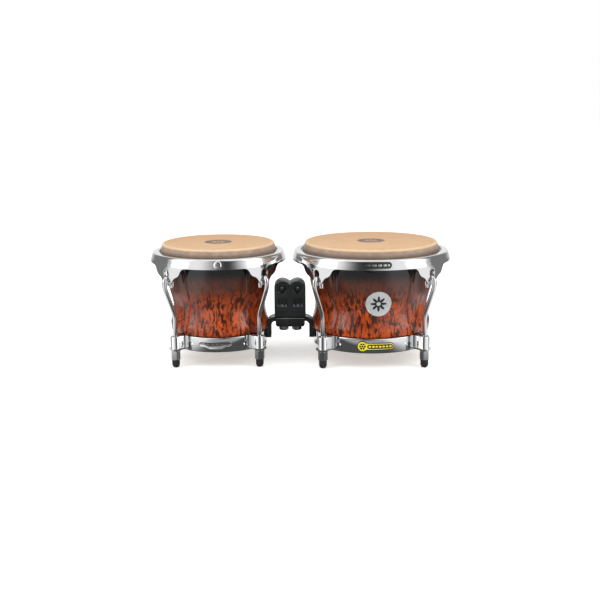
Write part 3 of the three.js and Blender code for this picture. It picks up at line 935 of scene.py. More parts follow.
def rim_piece(drum, chrome, plate):
    piece = new_object(drum.part("pressed_rim"), rim_mesh(drum, chrome), plate)
    wall = piece.modifiers.new("wall", "SOLIDIFY")
    wall.thickness = chrome.rim_wall
    wall.offset = -1
    wall.use_even_offset = True
    with_bevel(settled(piece), chrome.edge_bevel, 3, 50)
    return finished(piece, drum.rim_set, [drum.part("rim")])


def bent(points, reach, steps=10):
    """A polyline with each corner eased over a reach along both of its arms."""
    points = [Vector(point) for point in points]
    route = [points[0]]
    for before, corner, after in zip(points, points[1:], points[2:]):
        start = corner + (before - corner).normalized() * reach
        end = corner + (after - corner).normalized() * reach
        for i in range(steps + 1):
            t = i / steps
            route.append(start * (1 - t) ** 2 + corner * 2 * t * (1 - t) + end * t**2)
    return [tuple(point) for point in [*route, points[-1]]]


def hook_route(drum, rod_radius):
    """The hook's middle line as (distance from the drum's axis, height), from its foot to its tip."""
    foot, top = drum.heights("hook_front_right")
    turn, knee, elbow = 7.5 * MM, 82 * MM, 127 * MM
    turn_height = top - rod_radius - turn
    over = drum.rim_radius - rod_radius
    out = over + turn
    leg = [(drum.leg_radius, foot), (drum.leg_radius, knee), (out, elbow), (out, turn_height)]
    leg = bent(leg, 8 * MM)[:-1]
    straight = (out, (leg[-1][1] + turn_height) / 2)
    crook = arc((over, turn_height), turn, 0, 180, 26)
    return [*leg, straight, *crook, *[(over - turn, turn_height - down * MM) for down in (4.5, 9)]]


def hooks_piece(drum, chrome, plate):
    route = hook_route(drum, chrome.rod_radius)
    piece = rods_round(drum.part("hooks"), route, chrome.rod_radius, drum, plate)
    faced_out(piece.data)
    with_bevel(piece, 1.3 * MM, 4, 60)
    return finished(piece, drum.rim_set, drum.nodes("hook"))


# ---------------- pieces: fittings on the hooks' legs

HEX_FLATS = 13 * MM
HEX_CORNER = HEX_FLATS / math.sqrt(3)


def ribbon(points, thickness):
    """The closed outline of a strip that follows a plan line."""
    points = [Vector(point) for point in points]
    left, right = [], []
    for i, point in enumerate(points):
        along = (points[min(i + 1, len(points) - 1)] - points[max(i - 1, 0)]).normalized()
        side = Vector((-along.y, along.x)) * thickness / 2
        left.append(tuple(point + side))
        right.append(tuple(point - side))
    return left + right[::-1]


def bracket_line(drum, side, outer, middle):
    """The channel's middle line in plan: a flange each side on the band, and a turn round the rod."""
    ease, flange = 1.8 * MM, 5.5 * MM
    meet = math.asin(side / middle)
    start, end = (outer + flange) / middle, meet + ease / middle
    on_band = arc((0, 0), middle, -math.degrees(start), -math.degrees(end), 5)
    round_rod = arc((drum.leg_radius, 0), side, -90, 90, 20)
    corner = (middle * math.cos(meet), -side)
    half = [*on_band[:-1], *bent([on_band[-1], corner, round_rod[0]], 0.95 * ease, 5)[1:]]
    return [*half, *round_rod[1:-1], *[(x, -y) for x, y in reversed(half)]]


def bracket_mesh(drum, chrome, plate):
    """A pressed channel round the rod, with a flange each side on the band and a lip underneath."""
    wall, outer = 2.6 * MM, 7.5 * MM
    back, lip = drum.band_radius + GAP, outer + 3 * MM
    line = bracket_line(drum, outer - wall / 2, outer, back + wall / 2)
    low, high = drum.heights("bracket_front_right")
    piece = new_object("bracket", prism(ribbon(line, wall), low, high), plate)
    spread = math.degrees(math.asin(lip / back))
    lip_outline = [*arc((0, 0), back, spread, -spread, 12), *arc((drum.leg_radius, 0), lip, -90, 90, 24)]
    with_boolean(piece, [prism(lip_outline, low, low + 2 * MM)], "UNION")
    with_boolean(piece, [moved(cylinder(chrome.rod_radius + 0.5 * MM, 0, 0.1), drum.leg_radius)])
    with_bevel(piece, 0.45 * MM, 3, 40)
    return spun(mesh_of(piece), -math.pi / 2)


def brackets_piece(drum, chrome, plate):
    piece = ring_of(drum.part("brackets"), bracket_mesh(drum, chrome, plate), drum, plate)
    return finished(piece, "root", drum.nodes("bracket"))


def washers_piece(drum, chrome, plate):
    inner, outer, edge = chrome.rod_radius + GAP, drum.half_width("washer_front_right"), 0.4 * MM
    low, high = drum.heights("washer_front_right")
    rounded = [(outer - edge, low), (outer, low + edge), (outer, high - edge), (outer - edge, high)]
    mesh = turned([(inner, low), *rounded, (inner, high)], y=-drum.leg_radius, steps=40)
    piece = ring_of(drum.part("washers"), mesh, drum, plate)
    return finished(piece, "root", drum.nodes("washer"))


def hex_bar(low, high, turned_ends, material):
    """A hexagon bar with its corners turned down to a profile."""
    hexagon = arc((0, 0), HEX_CORNER, 0, 300, 5)
    piece = new_object("hexagon", prism(hexagon, low, high), material)
    return with_boolean(piece, [turned([(0, low), *turned_ends, (0, high)], steps=96)], "INTERSECT")


def nut_mesh(drum, chrome, plate):
    """A hexagon nut with chamfered ends, bored for the rod."""
    low, high = drum.heights("nut_front_right")
    face, chamfer = HEX_FLATS / 2 - 0.2 * MM, 0.9 * MM
    ends = [(face, low), (HEX_CORNER, low + chamfer), (HEX_CORNER, high - chamfer), (face, high)]
    piece = hex_bar(low, high, ends, plate)
    with_boolean(piece, [cylinder(chrome.rod_radius + GAP, low - MM, high + MM)])
    return mesh_of(with_bevel(piece, 0.25 * MM, 2, 25))


def tip_mesh(drum):
    """A rubber crutch tip: straight sides, a thin groove and a rounded foot."""
    top = drum.heights("foot_tip_front_right")[1] / MM
    side = [(0, 0), (1.2, 0), (2.6, 0.2), (4.3, 1.3), (5.4, 3.2), (6.0, 5.6), (6.0, 7.4)]
    upper = [(5.6, 7.8), (5.6, 8.2), (6.0, 8.6), (6.0, top - 0.7), (5.5, top), (0, top)]
    return turned(in_mm([(r, max(z, 0)) for r, z in [*curve_through(side, 26), *upper]]), steps=56)


def foot_pieces(drum, chrome, plate, rubber):
    """A nut and a rubber tip at each corner, on the nut's own body."""
    kinds = (
        ("hex_nut", nut_mesh(drum, chrome, plate), plate, "chrome", "nut"),
        ("rubber_foot", tip_mesh(drum), rubber, "rubber", "foot_tip"),
    )
    for corner, degrees in CORNERS.items():
        bearing = math.radians(degrees)
        place = (drum.x + drum.leg_radius * math.sin(bearing), -drum.leg_radius * math.cos(bearing))
        for name, mesh, material, slot, part in kinds:
            copy = moved(spun(mesh.copy(), bearing - math.pi / 2), *place)
            piece = new_object(drum.part(f"{name}_{corner}"), copy, material)
            finished(piece, drum.part(f"nut_{corner}"), [drum.part(f"{part}_{corner}")])


def band_piece(drum, plate):
    """A base band with rolled edges."""
    inner = drum.band_radius - BAND_WALL
    profile = rounded_ring(inner, drum.band_radius, drum.band_bottom, drum.band_top, 1.2 * MM, 6, 4)
    piece = new_object(drum.part("chrome_band"), turned(profile, drum.x, steps=224), plate)
    return finished(piece, "root", [drum.part("base_band")])


# ---------------- pieces: badge, plates and studs

LABEL_BAR_X = 6.6 * MM
RIM_PLATE_TOP = 166 * MM
BADGE_HEIGHT = 102 * MM
BADGE_BEARING = 3.9


class Seat:
    """A place on a drum that plates are bent to: a bearing in degrees and a radius for each height."""

    def __init__(self, drum, bearing, radius_at, body="root", slices=1.5 * MM):
        self.drum = drum
        self.bearing = math.radians(bearing)
        self.radius_at = radius_at
        self.body = body
        self.slices = slices

    def wrap(self, mesh):
        """Bends a plate that is drawn in X and Z and thick along -Y."""
        with edited(mesh) as work:
            reach = max(abs(vertex.co.x) for vertex in work.verts)
            sliced(work, 0, np.arange(-reach + self.slices, reach, self.slices))
            for vertex in work.verts:
                across, y, z = vertex.co
                base = self.radius_at(z)
                turn = self.bearing + across / base
                radius = base - y
                vertex.co = (self.drum.x + radius * math.sin(turn), -radius * math.cos(turn), z)
        return faced_out(mesh)

    def fix(self, name, mesh, material, slot, replaces=(), bevel=0.0):
        piece = new_object(name, self.wrap(mesh), material)
        if bevel:
            with_bevel(piece, bevel, 2, 40)
        return finished(piece, self.body, replaces)


def band_seat(drum, bearing):
    return Seat(drum, bearing, lambda z: drum.band_radius + GAP)


def rim_seat(drum, bearing, lift=0.0, slices=1.5 * MM):
    wall = wall_radius(drum)
    return Seat(drum, bearing, lambda z: wall(min(z, RIM_PLATE_TOP)) + lift, drum.rim_set, slices)


def sunk_plate(outline, thickness, border, sink):
    """A plate in X and Z with its back at Y = 0, and a sunk field inside a border."""
    mesh = slab(outline, thickness)
    with edited(mesh) as work:
        front = min(work.faces, key=lambda face: face.calc_center_median().y)
        bmesh.ops.inset_region(work, faces=[front], thickness=border)
        bmesh.ops.inset_region(work, faces=[front], thickness=sink, depth=-sink)
    return mesh


def bar(x, z, half_length, half_height):
    """A round-ended bar's outline."""
    straight = half_length - half_height
    right = arc((x + straight, z), half_height, -90, 90, 8)
    return right + arc((x - straight, z), half_height, 90, 270, 8)


def disc(x, z, radius, steps):
    return arc((x, z), radius, 0, 360 - 360 / steps, steps - 1)


def flat_marks(outlines, front, thickness):
    """Small raised marks that stand on a plate's front."""
    marks = mesh_from([])
    with edited(marks) as work:
        for outline in outlines:
            mark = slab(outline, thickness, -front)
            work.from_mesh(mark)
            bpy.data.meshes.remove(mark)
    return marks


def badge_piece(drum, metal):
    """A round badge with a raised edge, laid on the shell's curve."""
    radius = 19.5 * MM
    rings = [radius * share for share in np.linspace(0, 0.9, 16)]
    edge = [(0.915, 1.0), (0.93, 1.35), (0.955, 1.5), (0.985, 1.35), (1.0, 0.9), (1.0, 0.3), (0.985, 0)]
    profile = [(r, MM) for r in rings] + [(radius * share, out * MM) for share, out in edge]
    profile += [(r, 0) for r in (radius * 0.97, *rings[:0:-1], 0)]
    mesh = moved(standing(turned(profile, steps=96)), z=BADGE_HEIGHT)
    shell_radius = height_table(shell_line(drum))
    seat = Seat(drum, BADGE_BEARING, lambda z: shell_radius(z) + 0.25 * MM, slices=3 * MM)
    return seat.fix("hembra_round_badge", mesh, metal, "brushed_badge", ["hembra_shell_badge"])


def plate_pieces(drum, plate):
    """The small drum's chrome plate: a round-ended bar with a belly, and plain raised marks."""
    half, end, z, belly = 25.5 * MM, 3.9 * MM, 37.6 * MM, 3.4 * MM
    left = arc((end - half, z), end, 90, 270, 8)
    right = arc((half - end, z), end, -90, 90, 8)
    low = [(-half * 0.65, z - end), (-half * 0.35, z - end - belly)]
    low += [(-x, height) for x, height in reversed(low)]
    seat = band_seat(drum, -2.4)
    mesh = sunk_plate([*left, *low, *right], 1.0 * MM, 0.7 * MM, 0.35 * MM)
    seat.fix("macho_bar_plate", mesh, plate, "chrome", ["macho_band_plate"], bevel=0.15 * MM)
    marks = [bar(x * MM, z, 2.6 * MM, 1.0 * MM) for x in (-17.5, -10.5, -3.5, 3.5, 10.5, 17.5)]
    seat.fix("macho_plate_marks", flat_marks(marks, 0.55 * MM, 0.3 * MM), plate, "chrome")


def label_outline(z, disc_x, disc_radius, bar_end, bar_half, grow):
    """A disc that runs into a round-ended bar."""
    meet = math.degrees(math.asin(bar_half / disc_radius))
    left = arc((disc_x, z), disc_radius + grow, meet, 360 - meet, 40)
    return left + arc((bar_end - bar_half, z), bar_half + grow, -90, 90, 12)


def label_pieces(drum, yellow, dark):
    """The large drum's yellow label: a disc and a bar in a dark border, with plain marks."""
    half, disc_radius, bar_half, z = 28.5 * MM, 8.5 * MM, 5.6 * MM, 36.2 * MM
    disc_x = disc_radius - half
    shape = (z, disc_x, disc_radius, half, bar_half)
    seat = band_seat(drum, 1.5)
    border = slab(label_outline(*shape, 0), 0.7 * MM)
    seat.fix("hembra_label_border", border, dark, "black_metal", bevel=0.12 * MM)
    field = slab(label_outline(*shape, -1.3 * MM), 0.35 * MM, -0.68 * MM)
    seat.fix("hembra_yellow_label", field, yellow, "yellow_print", ["hembra_band_label"], bevel=0.1 * MM)
    marks = [disc(*dot, 1.5 * MM, 16) for dot in disc(disc_x, z, 3.6 * MM, 6)]
    marks += [disc(disc_x, z, 1.4 * MM, 20), bar(LABEL_BAR_X, z, 19.5 * MM, 3.4 * MM)]
    seat.fix("hembra_label_marks", flat_marks(marks, 1.0 * MM, 0.12 * MM), dark, "black_metal")
    lozenges = [bar(LABEL_BAR_X + step * 5.2 * MM, z, 2.0 * MM, 1.5 * MM) for step in range(-3, 4)]
    seat.fix("hembra_label_lozenges", flat_marks(lozenges, 1.1 * MM, 0.12 * MM), yellow, "yellow_print")


def rim_plate_pieces(drum, plate, dark):
    """A dark round-ended plate on the large rim, with bright raised marks."""
    z = 165.6 * MM
    seat = rim_seat(drum, 0.5, lift=0.1 * MM)
    mesh = sunk_plate(bar(0, z, 22.5 * MM, 5 * MM), 1.3 * MM, 0.8 * MM, 0.4 * MM)
    seat.fix("hembra_rim_plate", mesh, dark, "black_metal", bevel=0.15 * MM)
    places = ((-14, 4.5), (-4, 4.0), (4.6, 3.2), (12.2, 2.6), (17.6, 1.6))
    marks = [bar(x * MM, z, reach * MM, 1.5 * MM) for x, reach in places]
    seat.fix("hembra_rim_plate_marks", flat_marks(marks, 0.85 * MM, 0.5 * MM), plate, "chrome")


def rim_stud_piece(drum, plate):
    """A domed button on the small rim with a ring turned into it."""
    ringed = [(0, 2.1), (1.6, 2.05), (2.2, 1.3), (2.7, 1.3), (3.3, 1.95)]
    edge = [(4.6, 1.7), (5.5, 1.2), (6.0, 0.5), (6.0, 0), (0, 0)]
    mesh = standing(turned(in_mm([*ringed, *edge]), steps=64))
    seat = rim_seat(drum, 3.0, slices=3 * MM)
    seat.fix("macho_rim_stud", moved(mesh, z=165 * MM), plate, "chrome")


# ---------------- pieces: centre block

BOLT_XS = {"left": -10.2 * MM, "right": 10.2 * MM}
BLOCK_HALF = 24.5 * MM
BLOCK_QUARTER = BLOCK_HALF / 2
SILL = BLOCK_LOW.z + 16.7 * MM
# The deep cells between a square pocket's ribs, and the shallow field over them all, in mm: middle, half
# width, depth at the sill, rise of the sill, and depth at the top.
CELL = (4.5, 3.4, 4.5)
POCKETS = [(-5.9, 1.3, *CELL), (0, 2.2, *CELL), (5.9, 1.3, *CELL), (0, 7.2, 0.3, 0.3, 2.6)]
ARM_THICKNESS = 6.6 * MM
ARM_FOOT = 34 * MM


def block_outline():
    """Two arched halves with a valley between them."""
    top, arch, notch = BLOCK_HIGH.z, BLOCK_QUARTER, 5 * MM
    inner = (arch**2 + notch**2) / (2 * notch)
    sweep = math.degrees(math.asin(arch / inner))
    outer_right = arc((arch, top - arch), arch, 0, 90, 14)
    inner_right = arc((arch, top - inner), inner, 90, 90 + sweep, 10)[1:]
    right = [(BLOCK_HALF, BLOCK_LOW.z), *outer_right, *inner_right]
    return right + [(-x, z) for x, z in reversed(right[:-1])]


def round_pocket():
    """A tool for a round pocket with a pin left in its middle."""
    mouth = [(0, -1), (7.2, -1), (7.2, 0), (6.8, 0.5)]
    pin = [(6.4, 6), (3.1, 6), (2.3, 3.2), (0.6, 2.5), (0, 2.5)]
    mesh = standing(turned(in_mm([*mouth, *pin]), steps=48))
    mesh.transform(Matrix.Scale(-1, 4, (0, 1, 0)))
    return faced_out(mesh)


def square_pocket(half, depth, rise, top_depth):
    """A tool for a square pocket, in mm: its sill slopes up to its back, and its back may lean."""
    outline = in_mm([(-1, 0), (0, 0), (depth, rise), (top_depth, 13.4), (-1, 13.4)])
    mesh = prism(outline, -half * MM, half * MM)
    mesh.transform(Matrix(((0, 0, 1, 0), (1, 0, 0, 0), (0, 1, 0, 0), (0, 0, 0, 1))))
    return mesh


def block_recesses(front, turn):
    """The tools for one face: two round pockets with a pin, and two square pockets with ribs."""
    tools = []
    for middle in (-BLOCK_QUARTER, BLOCK_QUARTER):
        tools.append(moved(round_pocket(), middle, z=BLOCK_LOW.z + 44.7 * MM))
        for x, half, *depths in POCKETS:
            tools.append(moved(square_pocket(half, *depths), middle + x * MM, z=SILL))
    return [moved(spun(mesh, turn), y=front) for mesh in tools]


def bolt_bores(bottom):
    return [moved(cylinder(4.3 * MM, bottom, 80.5 * MM), x) for x in BOLT_XS.values()]


def two_toned(piece, material, chosen):
    """Gives the chosen faces a second finish."""
    piece.data.materials.append(material)
    for face in piece.data.polygons:
        if chosen(face):
            face.material_index = 1


def block_piece(plastic, painted_highlight):
    half = (BLOCK_HIGH.y - BLOCK_LOW.y) / 2
    piece = new_object("moulded_block", slab(block_outline(), 2 * half, half), plastic)
    with_bevel(piece, 1.8 * MM, 2, 40)
    with_boolean(piece, [*block_recesses(-half, 0), *block_recesses(half, math.pi), *bolt_bores(0)])
    with_bevel(piece, 0.3 * MM, 2, 50)
    sill, arches = SILL - 0.7 * MM, 105 * MM

    def catches_light(face):
        """The rounded top edges, and the sloping sills of the square pockets: the faces that get the
        lighter black of a painted highlight.
        """
        high = face.center.z > arches or sill < face.center.z < sill + 4.5 * MM
        return high and face.normal.z > 0.25 and abs(face.normal.y) > 0.25

    # Painted highlight: the up-facing top edges and sills get a lighter black.
    two_toned(piece, painted_highlight, catches_light)
    moved(piece.data, BLOCK_X)
    return finished(piece, "root", ["centre_block"])


def arm_outline(reach, outer):
    """The arm's side view: flat under the block, a bend, and a leg down beside the band."""
    top, bend = BLOCK_LOW.z - GAP, 13.5 * MM
    inner = reach - ARM_THICKNESS
    outside = [(GAP, top), *arc((outer - bend, top - bend), bend, 90, 0, 12), (outer, ARM_FOOT)]
    inside = arc((inner - bend + ARM_THICKNESS, top - bend), bend - ARM_THICKNESS, 0, 90, 12)
    return [*outside, (inner, ARM_FOOT), *inside, (GAP, top - ARM_THICKNESS)]


def hollowed_for(drum, mesh, side):
    """Presses an arm's outer face to the curve of the band and the shell that it holds."""
    shell_radius = height_table(shell_line(drum))
    away = abs(drum.x - BLOCK_X)
    with edited(mesh) as work:
        sliced(work, 1, np.arange(-14 * MM, 14 * MM, 1.5 * MM)[1:])
        sliced(work, 2, np.arange(ARM_FOOT, 60 * MM, 1.5 * MM)[1:])
        for vertex in work.verts:
            x, y, z = vertex.co
            beside_band = z < drum.band_top + 0.4 * MM
            radius = drum.band_radius + GAP if beside_band else shell_radius(z) + 0.6 * MM
            vertex.co.x = side * min(side * x, away - math.sqrt(radius**2 - y**2))


def arm_piece(drum, side, paint):
    low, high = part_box(drum.part("block_arm"))
    half = (high.y - low.y) / 2
    reach = abs(drum.x - BLOCK_X) - drum.band_radius - GAP
    sagitta = drum.band_radius - math.sqrt(drum.band_radius**2 - half**2)
    outline = [(side * x, z) for x, z in arm_outline(reach, reach + sagitta)]
    piece = new_object(drum.part("steel_arm"), slab(outline, 2 * half, half), paint)
    with_boolean(piece, bolt_bores(30 * MM))
    with_bevel(piece, 0.9 * MM, 3, 40)
    hollowed_for(drum, piece.data, side)
    moved(piece.data, BLOCK_X)
    return finished(piece, "root", [drum.part("block_arm")])


def clamp_piece(paint, painted_highlight):
    """A shallow tray under the arms, with a lip front and back."""
    low, lip_top = CLAMP_LOW.z, CLAMP_HIGH.z
    half, taper, floor = (CLAMP_HIGH.x - CLAMP_LOW.x) / 2, 2.2 * MM, low + 8 * MM
    depth = (CLAMP_HIGH.y - CLAMP_LOW.y) / 2
    right = [(half - taper, low), (half, low + 1.6 * taper), (half, lip_top)]
    outline = [*right, *[(-x, z) for x, z in reversed(right)]]
    piece = new_object("steel_clamp_plate", slab(outline, 2 * depth, depth), paint)
    bed, past = depth - 2.6 * MM, half + MM
    channel = [(-past, floor), (past, floor), (past, lip_top + MM), (-past, lip_top + MM)]
    with_boolean(piece, [slab(channel, 2 * bed, bed), *bolt_bores(30 * MM)])
    with_bevel(piece, 0.7 * MM, 3, 35)
    # Painted highlight: the lip's top faces get the lighter black.
    two_toned(piece, painted_highlight, lambda face: face.normal.z > 0.2 and face.center.z > lip_top - 1.2 * MM)
    moved(piece.data, BLOCK_X)
    return finished(piece, "root", ["block_clamp_plate"])


def bolt_piece(side, x, steel):
    low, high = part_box(f"block_bolt_{side}")
    under = CLAMP_LOW.z - GAP
    ends = [(6 * MM, low.z), (HEX_CORNER, low.z + MM), (HEX_CORNER, under)]
    piece = hex_bar(low.z, under, ends, steel)
    piece.name = f"hex_bolt_{side}"
    shank = [(4 * MM, under - MM), (4 * MM, high.z - 0.8 * MM), (3.2 * MM, high.z)]
    with_boolean(piece, [turned([(0, under - MM), *shank, (0, high.z)], steps=48)], "UNION")
    with_bevel(piece, 0.3 * MM, 2, 25)
    moved(piece.data, BLOCK_X + x)
    return finished(piece, "root", [f"block_bolt_{side}"])


# ---------------- stage

BLACK = (0, 0, 0)
WHITE = 0.92

# Each light's name, place, aim, width and length in metres, and power in watts.
LIGHTS = (
    ("overhead", (0, -0.7, 1.7), (0, 0, 0), (2.0, 2.0), 12),
    ("left_box", (-1.5, -0.9, 0.9), (0, 0, 0.1), (0.9, 1.3), 10),
    ("right_box", (1.5, -0.9, 0.9), (0, 0, 0.1), (0.9, 1.3), 10),
    ("top_strip", (0, -0.35, 1.6), (0, -0.05, 0.1), (1.3, 0.14), 4.5),
)


def card(corners):
    return mesh_from(corners, [(0, 1, 2, 3)])


def level_square(half, z):
    return card([(-half, -half, z), (half, -half, z), (half, half, z), (-half, half, z)])


def floor_piece(stage):
    floor = new_object("studio_floor", level_square(8, 0), studio_floor(stage))
    floor.visible_glossy = False


def area_light(name, place, aim, size, power):
    """A softbox that lights the drums but doesn't show, in the picture or in their gloss."""
    data = bpy.data.lights.new(name, "AREA")
    data.shape = "RECTANGLE"
    data.size, data.size_y = size
    data.energy = power
    light = bpy.data.objects.new(name, data)
    light.location = place
    light.rotation_euler = (Vector(aim) - Vector(place)).to_track_quat("-Z", "Y").to_euler()
    light.visible_glossy = False
    light.visible_camera = False
    bpy.context.scene.collection.objects.link(light)


def side_tone(ahead):
    """The studio's tone by bearing: white ahead and at the sides, grey behind, pale straight behind."""
    grey = 0.20 + (-0.72 - ahead).smooth(0, 0.26) * 0.66
    return between(grey, WHITE, (ahead - 0.02).smooth(-0.14, 0.14))


def either(a, b):
    """1 where a or b is 1."""
    return a + b - a * b


def gloss_card(finish, tone, mesh):
    """A card with a tone of its own, seen only in polished parts."""
    finish.set(Base_Color=BLACK, Specular_IOR_Level=0.0, Roughness=1.0)
    finish.set(Emission_Color=finish.grey(tone), Emission_Strength=1.0)
    piece = new_object(finish.material.name, mesh, finish.material)
    piece.visible_camera = False
    piece.visible_diffuse = False
    piece.visible_shadow = False
    piece.visible_transmission = False


def floor_glow():
    """What polished parts see in the floor: a dark strip towards the camera between two white wings,
    with the drums' shadow painted in: the strip darkest next to them, and a dark patch under them.
    """
    finish = Finish("floor_glow")
    x, y, z = finish.axes()
    away = finish.length(x, y)
    sides = side_tone(y / away * -1)
    sides = between(sides, 0.85, (0.40 - away).smooth(-0.05, 0.05))
    strip = (abs(x) + y * 0.16 - 0.20).smooth(-0.05, 0.11)
    behind = (y + 0.05).smooth(-0.04, 0.04)
    # Painted shadow: the strip is darkest next to the drums and lightens towards the camera.
    dark = 0.075 + (y * -1 - 0.205).smooth(0.0, 0.10) * 0.28
    tone = between(dark, sides, either(strip, behind))
    # Painted shadow: a dark patch on the floor under the drums.
    tone = between(0.14, tone, (finish.length(x, y * 2.4) - 0.21).smooth(-0.05, 0.05))
    gloss_card(finish, tone, level_square(6, 0.5 * MM))


def camera_flag():
    """A dark upright card ahead of the drums: the shade of a camera and its stand."""
    finish = Finish("camera_flag")
    x = finish.axes()[0]
    tone = 0.05 + (abs(x) - 0.20).smooth(-0.19, 0.19) * 0.87
    half, y, low, high = 0.40, -0.45, 0.002, 0.46
    gloss_card(finish, tone, card([(-half, y, low), (half, y, low), (half, y, high), (-half, y, high)]))


def surroundings():
    """A soft room: white to the eye, even for matt surfaces, and toned by bearing for polished ones."""
    world = bpy.data.worlds.new("soft_room")
    bpy.context.scene.world = world
    world.use_nodes = True
    room = Nodes(world.node_tree)
    x, y, z = room.parts(room.node("ShaderNodeTexCoord", {}, {}, "Generated"))
    flat = room.length(x, y)
    ahead = y / flat * -1
    window = (ahead - 0.13).smooth(-0.05, 0.05) * (0.60 - ahead).smooth(-0.10, 0.10)
    sides = side_tone(ahead) + window * 1.1
    strip = (abs(x) / flat - 0.30).smooth(-0.14, 0.14)
    behind = (y + 0.1).smooth(-0.1, 0.1)
    low = between(0.10, sides, either(strip, behind))
    polished = between(low, WHITE, z.smooth(0.60, 0.95))
    tone = between(0.62, polished, room.node("ShaderNodeLightPath", {}, {}, "Is Glossy Ray"))
    tone = between(tone, 1.0, room.node("ShaderNodeLightPath", {}, {}, "Is Camera Ray"))
    background = world.node_tree.nodes["Background"]
    room.plug(background.inputs["Strength"], tone)
    room.plug(background.inputs["Color"], (1, 1, 1))


def camera_at(stage):
    data = bpy.data.cameras.new("studio_camera")
    data.lens = stage.lens
    data.sensor_width = 36
    camera = bpy.data.objects.new("studio_camera", data)
    camera.location = (-1.05 * MM, -stage.camera_distance, stage.camera_height)
    look = Matrix.Rotation(math.pi / 2 - stage.camera_pitch, 4, "X")
    camera.rotation_euler = (look @ Matrix.Rotation(stage.camera_roll, 4, "Z")).to_euler()
    bpy.context.scene.collection.objects.link(camera)
    bpy.context.scene.camera = camera


# ---------------- operators, panel and registration


class BONGO_OT_shells(bpy.types.Operator):
    """Turn the two lacquered shells"""

    bl_idname = "bongo.shells"
    bl_label = "Shells"

    def execute(self, context):
        shell = context.scene.bongo_shell
        lacquer, bare = lacquered_burl(shell), bare_shell_wood()
        for drum in DRUMS:
            shell_piece(drum, shell, lacquer, bare)
        return {"FINISHED"}


class BONGO_OT_heads(bpy.types.Operator):
    """Lap the hide heads and their hoops"""

    bl_idname = "bongo.heads"
    bl_label = "Heads"

    def execute(self, context):
        head = context.scene.bongo_head
        steel = bare_steel()
        for drum in DRUMS:
            head_piece(drum, head, drum_hide(head, drum))
            hoop_piece(drum, steel)
        return {"FINISHED"}


class BONGO_OT_rims(bpy.types.Operator):
    """Press the rims and hang the hooks in them"""

    bl_idname = "bongo.rims"
    bl_label = "Rims and hooks"

    def execute(self, context):
        chrome = context.scene.bongo_chrome
        plate = chrome_plate(chrome)
        for drum in DRUMS:
            rim_piece(drum, chrome, plate)
            hooks_piece(drum, chrome, plate)
        return {"FINISHED"}


class BONGO_OT_fittings(bpy.types.Operator):
    """Fit the base bands, brackets, washers, nuts and rubber feet"""

    bl_idname = "bongo.fittings"
    bl_label = "Bands and feet"

    def execute(self, context):
        chrome = context.scene.bongo_chrome
        plate = bpy.data.materials["chrome_plate"]
        rubber = moulded_black("foot_rubber", (0.013, 0.013, 0.014), 0.5, 900, 0.08 * MM)
        for drum in DRUMS:
            band_piece(drum, plate)
            brackets_piece(drum, chrome, plate)
            washers_piece(drum, chrome, plate)
            foot_pieces(drum, chrome, plate, rubber)
        return {"FINISHED"}


class BONGO_OT_badges(bpy.types.Operator):
    """Fix the badge, the plates and the stud"""

    bl_idname = "bongo.badges"
    bl_label = "Badge and plates"

    def execute(self, context):
        plate = bpy.data.materials["chrome_plate"]
        dark = enamel("dark_enamel", (0.012, 0.015, 0.013), (0.022, 0.026, 0.022))
        yellow = enamel("yellow_enamel", (0.74, 0.66, 0.02), (0.60, 0.50, 0.015))
        bearing = math.radians(BADGE_BEARING)
        radius = height_table(shell_line(HEMBRA))(BADGE_HEIGHT)
        centre = Vector((radius * math.sin(bearing), -radius * math.cos(bearing), BADGE_HEIGHT))
        centre.x += HEMBRA.x
        badge_piece(HEMBRA, brushed_badge_metal(centre, bearing, 20 * MM))
        plate_pieces(MACHO, plate)
        label_pieces(HEMBRA, yellow, dark)
        rim_plate_pieces(HEMBRA, plate, dark)
        rim_stud_piece(MACHO, plate)
        return {"FINISHED"}


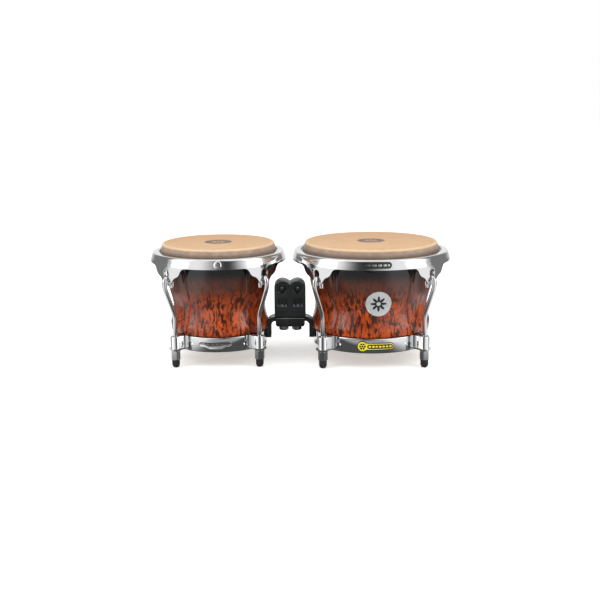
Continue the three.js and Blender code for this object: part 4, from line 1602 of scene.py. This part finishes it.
class BONGO_OT_block(bpy.types.Operator):
    """Mould the centre block and bolt its arms on"""

    bl_idname = "bongo.block"
    bl_label = "Centre block"

    def execute(self, context):
        plastic = moulded_black("moulded_plastic", (0.014, 0.016, 0.017), 0.24, 1100, 0.05 * MM)
        paint = moulded_black("powder_coat", (0.010, 0.010, 0.011), 0.20, 1400, 0.04 * MM)
        # A lighter black for up-facing edges: a painted highlight.
        painted_highlight = moulded_black("painted_highlight_edge", (0.16, 0.17, 0.175), 0.2, 300, 0.03 * MM)
        steel = blackened_steel()
        block_piece(plastic, painted_highlight)
        arm_piece(MACHO, -1, paint)
        arm_piece(HEMBRA, 1, paint)
        clamp_piece(paint, painted_highlight)
        for side, x in BOLT_XS.items():
            bolt_piece(side, x, steel)
        return {"FINISHED"}


class BONGO_OT_stage(bpy.types.Operator):
    """Set the floor, the lights and the camera"""

    bl_idname = "bongo.stage"
    bl_label = "Stage"

    def execute(self, context):
        stage = context.scene.bongo_stage
        floor_piece(stage)
        floor_glow()
        camera_flag()
        surroundings()
        for light in LIGHTS:
            area_light(*light)
        camera_at(stage)
        context.scene.view_settings.view_transform = "Standard"
        return {"FINISHED"}


class BONGO_PT_panel(bpy.types.Panel):
    """Lists the drums' pieces in the order they are made"""

    bl_idname = "BONGO_PT_panel"
    bl_label = "Bongo Drums"
    bl_space_type = "VIEW_3D"
    bl_region_type = "UI"
    bl_category = "Bongos"

    def draw(self, context):
        for operator in OPERATORS:
            self.layout.operator(operator.bl_idname)


SETTINGS = {
    "bongo_shell": BongoShellSettings,
    "bongo_head": BongoHeadSettings,
    "bongo_chrome": BongoChromeSettings,
    "bongo_stage": BongoStageSettings,
}
OPERATORS = (
    BONGO_OT_shells,
    BONGO_OT_heads,
    BONGO_OT_rims,
    BONGO_OT_fittings,
    BONGO_OT_badges,
    BONGO_OT_block,
    BONGO_OT_stage,
)


def register():
    for name, group in SETTINGS.items():
        bpy.utils.register_class(group)
        setattr(bpy.types.Scene, name, bpy.props.PointerProperty(type=group))
    for item in (*OPERATORS, BONGO_PT_panel):
        bpy.utils.register_class(item)


def unregister():
    for item in reversed((*OPERATORS, BONGO_PT_panel)):
        bpy.utils.unregister_class(item)
    for name, group in SETTINGS.items():
        delattr(bpy.types.Scene, name)
        bpy.utils.unregister_class(group)


def main():
    register()
    for operator in OPERATORS:
        group, name = operator.bl_idname.split(".")
        getattr(getattr(bpy.ops, group), name)()


if __name__ == "__main__":
    main()
